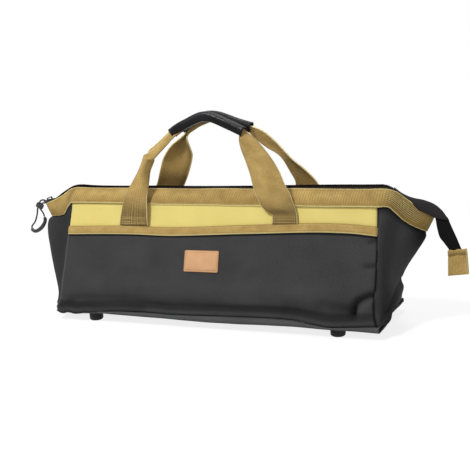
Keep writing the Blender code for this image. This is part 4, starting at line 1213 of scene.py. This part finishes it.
def grip_outline(angle):
    """Cross-section of the sleeve as (across, up): flattened, with a fold along its underside."""
    c, s = math.cos(angle), math.sin(angle)
    across = 6.6 * math.copysign(abs(c) ** 0.8, c)
    up = 6.3 * math.copysign(abs(s) ** 0.85, s)
    return across, up - 1.3 * bell(angle - 3.9, 0.35) + 0.7 * bell(angle - 4.6, 0.3)


def build_grip(name, line, side):
    face = face_of[side]
    points = []
    around, count = 36, 61
    spine = [Vector((x, side * (handle_plane(z) + 0.5), z)) for x, z in line]
    knots = knots_of(spine)
    out = Vector((0, side, 0))
    for share in shares(count):
        p = smooth(spine, share, knots)
        ahead = (smooth(spine, share + 0.02, knots) - smooth(spine, share - 0.02, knots)).normalized()
        up = upward(ahead, out)
        lip = 1.0 + 0.04 * bell(min(share, 1 - share), 0.012)
        for k in range(around):
            angle = 2 * math.pi * k / around
            across, rise = grip_outline(angle)
            spot = Vector((share * 5, math.cos(angle) * 1.6, math.sin(angle) * 1.6 + side))
            scale = lip + 0.7 * noise.noise(spot) * 0.09
            points.append(p + out * across * scale + up * rise * scale)
    faces = tube_faces(count, around)
    piece = new_piece(name, mesh_of(name, points, faces if side > 0 else [f[::-1] for f in faces]), grip_vinyl)
    thicken(piece, grip_thick)
    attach(piece, face + "_handle")
    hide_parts("handle_grip_" + face)


build_grip("front_grip_sleeve", front_grip, -1)
build_grip("rear_grip_sleeve", rear_grip, 1)


# Leather patch, left bare, with a saddle stitch round it
patch_x, patch_h, patch_w, patch_tall = -10.0, 70.5, 47.0, 27.0
patch_round = 1.5
patch_inset = 2.4


def patch_point(x, h, lift=0.0):
    edge = min(patch_w / 2 - abs(x - patch_x), patch_tall / 2 - abs(h - patch_h))
    crown = 0.9 * ease(edge / 3.0) + 0.5 * ease(edge / 12)
    groove = 0.45 * bell(edge - patch_inset, 0.7)
    return wall_point(-1, x, h, 1.1 + crown - groove + lift)


def build_patch():
    rows = []
    for up in shares(29):
        h = patch_h + patch_tall / 2 * mix(-1, 1, up)
        round_off = max(abs(h - patch_h) - (patch_tall / 2 - patch_round), 0)
        limit = patch_w / 2 - patch_round + math.sqrt(max(patch_round ** 2 - round_off ** 2, 0))
        xs = [patch_x + patch_w / 2 * mix(-1, 1, s) for s in shares(49)]
        rows.append([patch_point(min(max(x, patch_x - limit), patch_x + limit), h) for x in xs])
    piece = sheet_piece("leather_label", rows, leather, leather_thick)
    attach(piece, "front_wall")
    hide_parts("leather_patch")
    w, t = patch_w / 2 - patch_inset, patch_tall / 2 - patch_inset
    corners = ((-w, -t), (w, -t), (w, t), (-w, t), (-w, -t))
    for k, (a, b) in enumerate(zip(corners, corners[1:])):
        spots = [(patch_x + mix(a[0], b[0], s), patch_h + mix(a[1], b[1], s)) for s in shares(25)]
        thread = stitch_piece(f"patch_stitch_{k}", normal_line(patch_point, spots, 0.05), thread_brown,
                              2.6, 1.8, 0.3)
        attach(thread, "front_wall")


build_patch()


# Zip tail: the tape's free end, folded over and hanging, closed with a doubled piece of webbing
tail_upper = (
    (222, -1, 166.6), (230, -1.5, 160.6), (238, -2, 156.6), (246, -2.6, 154.2), (257.5, -4, 152.2),
    (269.5, -5.6, 147.8), (278, -7, 141), (283.4, -8, 133.8), (286.2, -8.4, 129.8),
)
tail_lower = (
    (224, -4, 162.6), (230, -5, 156.6), (236, -6, 150.8), (243, -7, 145.6), (251, -7.6, 141.8),
    (258, -8, 139), (263.5, -8.3, 136.6), (268, -8.5, 134.4), (270.6, -8.6, 133),
)
hang_left = (
    (270, -7.4, 135.6), (270.8, -8, 129.4), (272.4, -8.4, 120.3), (275.2, -8.2, 109.9), (279.6, -8, 104),
    (285.6, -8, 95.5), (288.4, -8, 90.5),
)
hang_right = (
    (284.4, -7.4, 133), (286.4, -8, 128.2), (290.8, -8.4, 118), (294.4, -8, 109.5), (297.2, -7.9, 102.5),
    (300.2, -8, 95.2), (302, -8, 90.5),
)
tab_corners = ((284.6, 0, 94.2), (305.4, 0, 97.0), (284.4, 0, 66.4), (307.4, 0, 69.3))


def rail_rows(left, right, count, bow):
    rows = []
    for share in shares(count):
        a, b = smooth(left, share), smooth(right, share)
        rows.append([mix(a, b, w) + Vector((0, -bow * math.sin(math.pi * w), 0)) for w in shares(11)])
    return rows


def build_tail():
    rows = rail_rows(tail_lower, tail_upper, 45, 1.2)
    fold = sheet_piece("tail_fold_tape", rows, tail_tape, tail_thick, False)
    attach(fold, "shell")
    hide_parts("zip_tail_fold")
    rows = rail_rows(hang_left, hang_right, 31, 1.0)
    hang = sheet_piece("tail_hanging_tape", rows, hanging_tape_shaded, tail_thick, True)
    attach(hang, "zip_tail")
    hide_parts("zip_tail_end")
    top_left, top_right, low_left, low_right = [Vector(p) for p in tab_corners]
    loops = []
    for w in shares(15):
        top, low = mix(top_left, top_right, w), mix(low_left, low_right, w)
        wave, curl = 0.5 * math.sin(w * 9), math.sin(w * 14)
        column = [top + Vector((0, y, z)) for y, z in (
            (-11.6, -4.2), (-12.6, -2.4), (-12.4, -0.4 + 0.5 * curl), (-11.2, 0.6 + 0.6 * curl))]
        for share in shares(13):
            y = -10.2 - 0.7 * math.sin(math.pi * share) + wave * (1 - share)
            column.append(mix(top, low, share) + Vector((0, y, 0)))
        for angle in (-60, -20, 20, 60):
            a = math.radians(angle)
            column.append(low + Vector((0, -8.0 + 2.1 * math.sin(a), -0.9 * math.cos(a))))
        for share in shares(13):
            column.append(mix(low, top, share) + Vector((0, -5.8 + 0.6 * math.sin(math.pi * share), 0)))
        loops.append(column)
    rows = [list(row) for row in zip(*loops)]
    tab = sheet_piece("tail_webbing", rows, tab_webbing, tab_thick, False, 0.0)
    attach(tab, "zip_tail")
    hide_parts("tail_tab")


build_tail()


# Cord pull: a loop of cord through the slider's ring, a two-hole bead and a moulded crescent. The
# routes are (x, z) in the middle plane.
cord_route = (
    (-275.1, 126.9), (-275.5, 129.2), (-276.8, 132.3), (-279.3, 135.9), (-280.97, 138.56), (-277.57, 144.44),
    (-276.8, 145.7), (-275.4, 146.4), (-273.8, 146.4), (-272.3, 146.4), (-270.9, 147), (-270.3, 148.4),
    (-270.9, 149.8), (-272.3, 150.4), (-275, 150.7), (-277.8, 150.2), (-279.9, 148.7), (-281.03, 146.44),
    (-284.43, 140.56), (-285.6, 137.6), (-286.6, 132), (-288.8, 125.5), (-292.2, 119), (-295.7, 115.5),
    (-297.8, 113.1), (-298.4, 110.8),
)
grip_route = (
    (-275, 126.4), (-274.2, 121.8), (-278.3, 114.6), (-285.6, 108.4), (-292.5, 105.8), (-296.8, 107.1),
    (-298.4, 110.2),
)
cord_points = [place(p) for p in along([(x, 0, z) for x, z in cord_route], 76)]


def build_pull():
    curve = bpy.data.curves.new("pull_cord_loop", "CURVE")
    curve.dimensions = "3D"
    spline = curve.splines.new("POLY")
    spline.points.add(len(cord_points) - 1)
    for spot, p in zip(spline.points, cord_points):
        spot.co = (*p, 1.0)
    curve.bevel_depth = cord_radius * MM
    curve.bevel_resolution = 3
    curve.use_fill_caps = True
    loop = bpy.data.objects.new("pull_cord_loop", curve)
    bpy.context.scene.collection.objects.link(loop)
    curve.materials.append(cord_black)
    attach(loop, "zip_pull")
    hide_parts("pull_cord")

    count, sides = 49, 16
    spine = along([(x, 0, z) for x, z in grip_route], count)
    across = Vector((0, 1, 0))
    points = []
    for i, p in enumerate(spine):
        ahead = (spine[min(i + 1, count - 1)] - spine[max(i - 1, 0)]).normalized()
        up = ahead.cross(across).normalized()
        share = i / (count - 1)
        from_end = min(share, 1 - share)
        size = mix(1.9, 2.75, math.sin(math.pi * share) ** 0.7)
        size *= 1.0 - 0.22 * bell(from_end, 0.018)
        size += 0.35 * bell(from_end - 0.07, 0.015)
        for k in range(sides):
            angle = 2 * math.pi * k / sides
            points.append(p + across * math.cos(angle) * size * 1.05 + up * math.sin(angle) * size)
    faces = tube_faces(count, sides, turned=True)
    faces.append(tuple(range(sides)))
    faces.append(tuple((count - 1) * sides + k for k in reversed(range(sides))))
    crescent = new_piece("pull_crescent", mesh_of("pull_crescent", points, faces), pull_plastic)
    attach(crescent, "zip_pull")
    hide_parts("pull_grip")
    return loop, crescent


pull_loop, pull_crescent = build_pull()

# Nodes whose own shape is right keep it, with a finer material
kept_looks = {
    "base_board": board, "pull_ring": slider_metal, "slider_body": slider_metal,
    "slider_bridge": slider_metal, "pull_bead": pull_plastic, "zip_end_stop": slider_metal,
}
for name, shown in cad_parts.items():
    look = kept_looks.get(name)
    if name.startswith(("foot_screw", "foot_washer")):
        look = steel
    elif name.startswith("foot_"):
        look = foot_rubber
    if look:
        for material_slot in shown.material_slots:
            material_slot.material = look


# Studio

floor_reach = 4.0
white_from, white_to = 0.42, 0.75
lamps = (
    ("key", (-0.5, -0.98, 1.55), 0.3, 23.0),
    ("fill", (1.5, -0.9, 0.7), 1.4, 3.0),
    ("top", (0.1, 0.4, 1.7), 0.6, 9.0),
)
lamp_aim = Vector((0.0, 0.0, 0.1))
camera_spot = (432.8, -966.7, 293.9)
camera_turn = (23.33, 10.11, -3.14)
sensor_width, focal_length = 36.0, 63.98


def seen_directly(tree):
    """1 where the background itself is seen, also in a gloss or through something clear."""
    rays = node(tree, "LightPath").outputs
    mirrored = calc(tree, "MAXIMUM", rays["Is Glossy Ray"], rays["Is Transmission Ray"])
    return calc(tree, "MAXIMUM", rays["Is Camera Ray"], mirrored)


def build_floor(scene):
    corners = [(x * floor_reach, y * floor_reach, 0) for x, y in ((-1, -1), (1, -1), (1, 1), (-1, 1))]
    mesh = bpy.data.meshes.new("floor")
    mesh.from_pydata(corners, [], [(0, 1, 2, 3)])
    floor = bpy.data.objects.new("floor", mesh)
    scene.collection.objects.link(floor)
    material = bpy.data.materials.new("floor")
    material.use_nodes = True
    tree = material.node_tree
    tree.nodes.clear()
    seen = seen_directly(tree)
    lit = add(tree, "BsdfDiffuse", {"Color": (0.22, 0.22, 0.22, 1)})
    glow = add(tree, "Emission", {"Color": (1, 1, 1, 1), "Strength": 0.82})
    near_bag = add(tree, "AddShader", {0: lit, 1: glow})
    white = add(tree, "Emission", {"Color": (1, 1, 1, 1), "Strength": 1.0})
    spot = add(tree, "TexCoord", out="Object")
    away = add(tree, "VectorMath", {0: spot}, "Value", operation="LENGTH")
    both = add(tree, "MixShader", {0: away.fit(white_from, white_to), 1: near_bag, 2: white})
    plain = add(tree, "BsdfDiffuse", {"Color": (0.8, 0.8, 0.8, 1)})
    mixed = add(tree, "MixShader", {0: seen, 1: plain, 2: both})
    node(tree, "OutputMaterial", {0: mixed})
    mesh.materials.append(material)


def build_world(scene):
    world = bpy.data.worlds.new("studio")
    scene.world = world
    world.use_nodes = True
    tree = world.node_tree
    tree.nodes.clear()
    seen = seen_directly(tree)
    soft = add(tree, "Background", {"Color": (1, 1, 1, 1), "Strength": 0.30})
    white = add(tree, "Background", {"Color": (1, 1, 1, 1), "Strength": 1.0})
    mixed = add(tree, "MixShader", {0: seen, 1: soft, 2: white})
    node(tree, "OutputWorld", {0: mixed})


def build_lamps(scene):
    for name, spot, size, power in lamps:
        lamp = bpy.data.lights.new(name, "AREA")
        lamp.size = size
        lamp.energy = power
        holder = bpy.data.objects.new(name, lamp)
        holder.location = spot
        holder.rotation_euler = (lamp_aim - Vector(spot)).to_track_quat("-Z", "Y").to_euler()
        scene.collection.objects.link(holder)


def build_camera(scene):
    azimuth, elevation, roll = (math.radians(a) for a in camera_turn)
    back = Vector((math.sin(azimuth) * math.cos(elevation), -math.cos(azimuth) * math.cos(elevation),
                   math.sin(elevation)))
    right = (-back).cross(Vector((0, 0, 1))).normalized()
    up = right.cross(-back)
    across = right * math.cos(roll) + up * math.sin(roll)
    rise = up * math.cos(roll) - right * math.sin(roll)
    turn = Matrix((across, rise, back)).transposed().to_4x4()
    data = bpy.data.cameras.new("camera")
    data.sensor_width = sensor_width
    data.lens = focal_length
    data.clip_end = 20.0
    camera = bpy.data.objects.new("camera", data)
    camera.matrix_world = Matrix.Translation(place(camera_spot)) @ turn
    scene.collection.objects.link(camera)
    scene.camera = camera
    scene.view_settings.view_transform = "Standard"


for build_stage in (build_floor, build_world, build_lamps, build_camera):
    build_stage(bpy.context.scene)
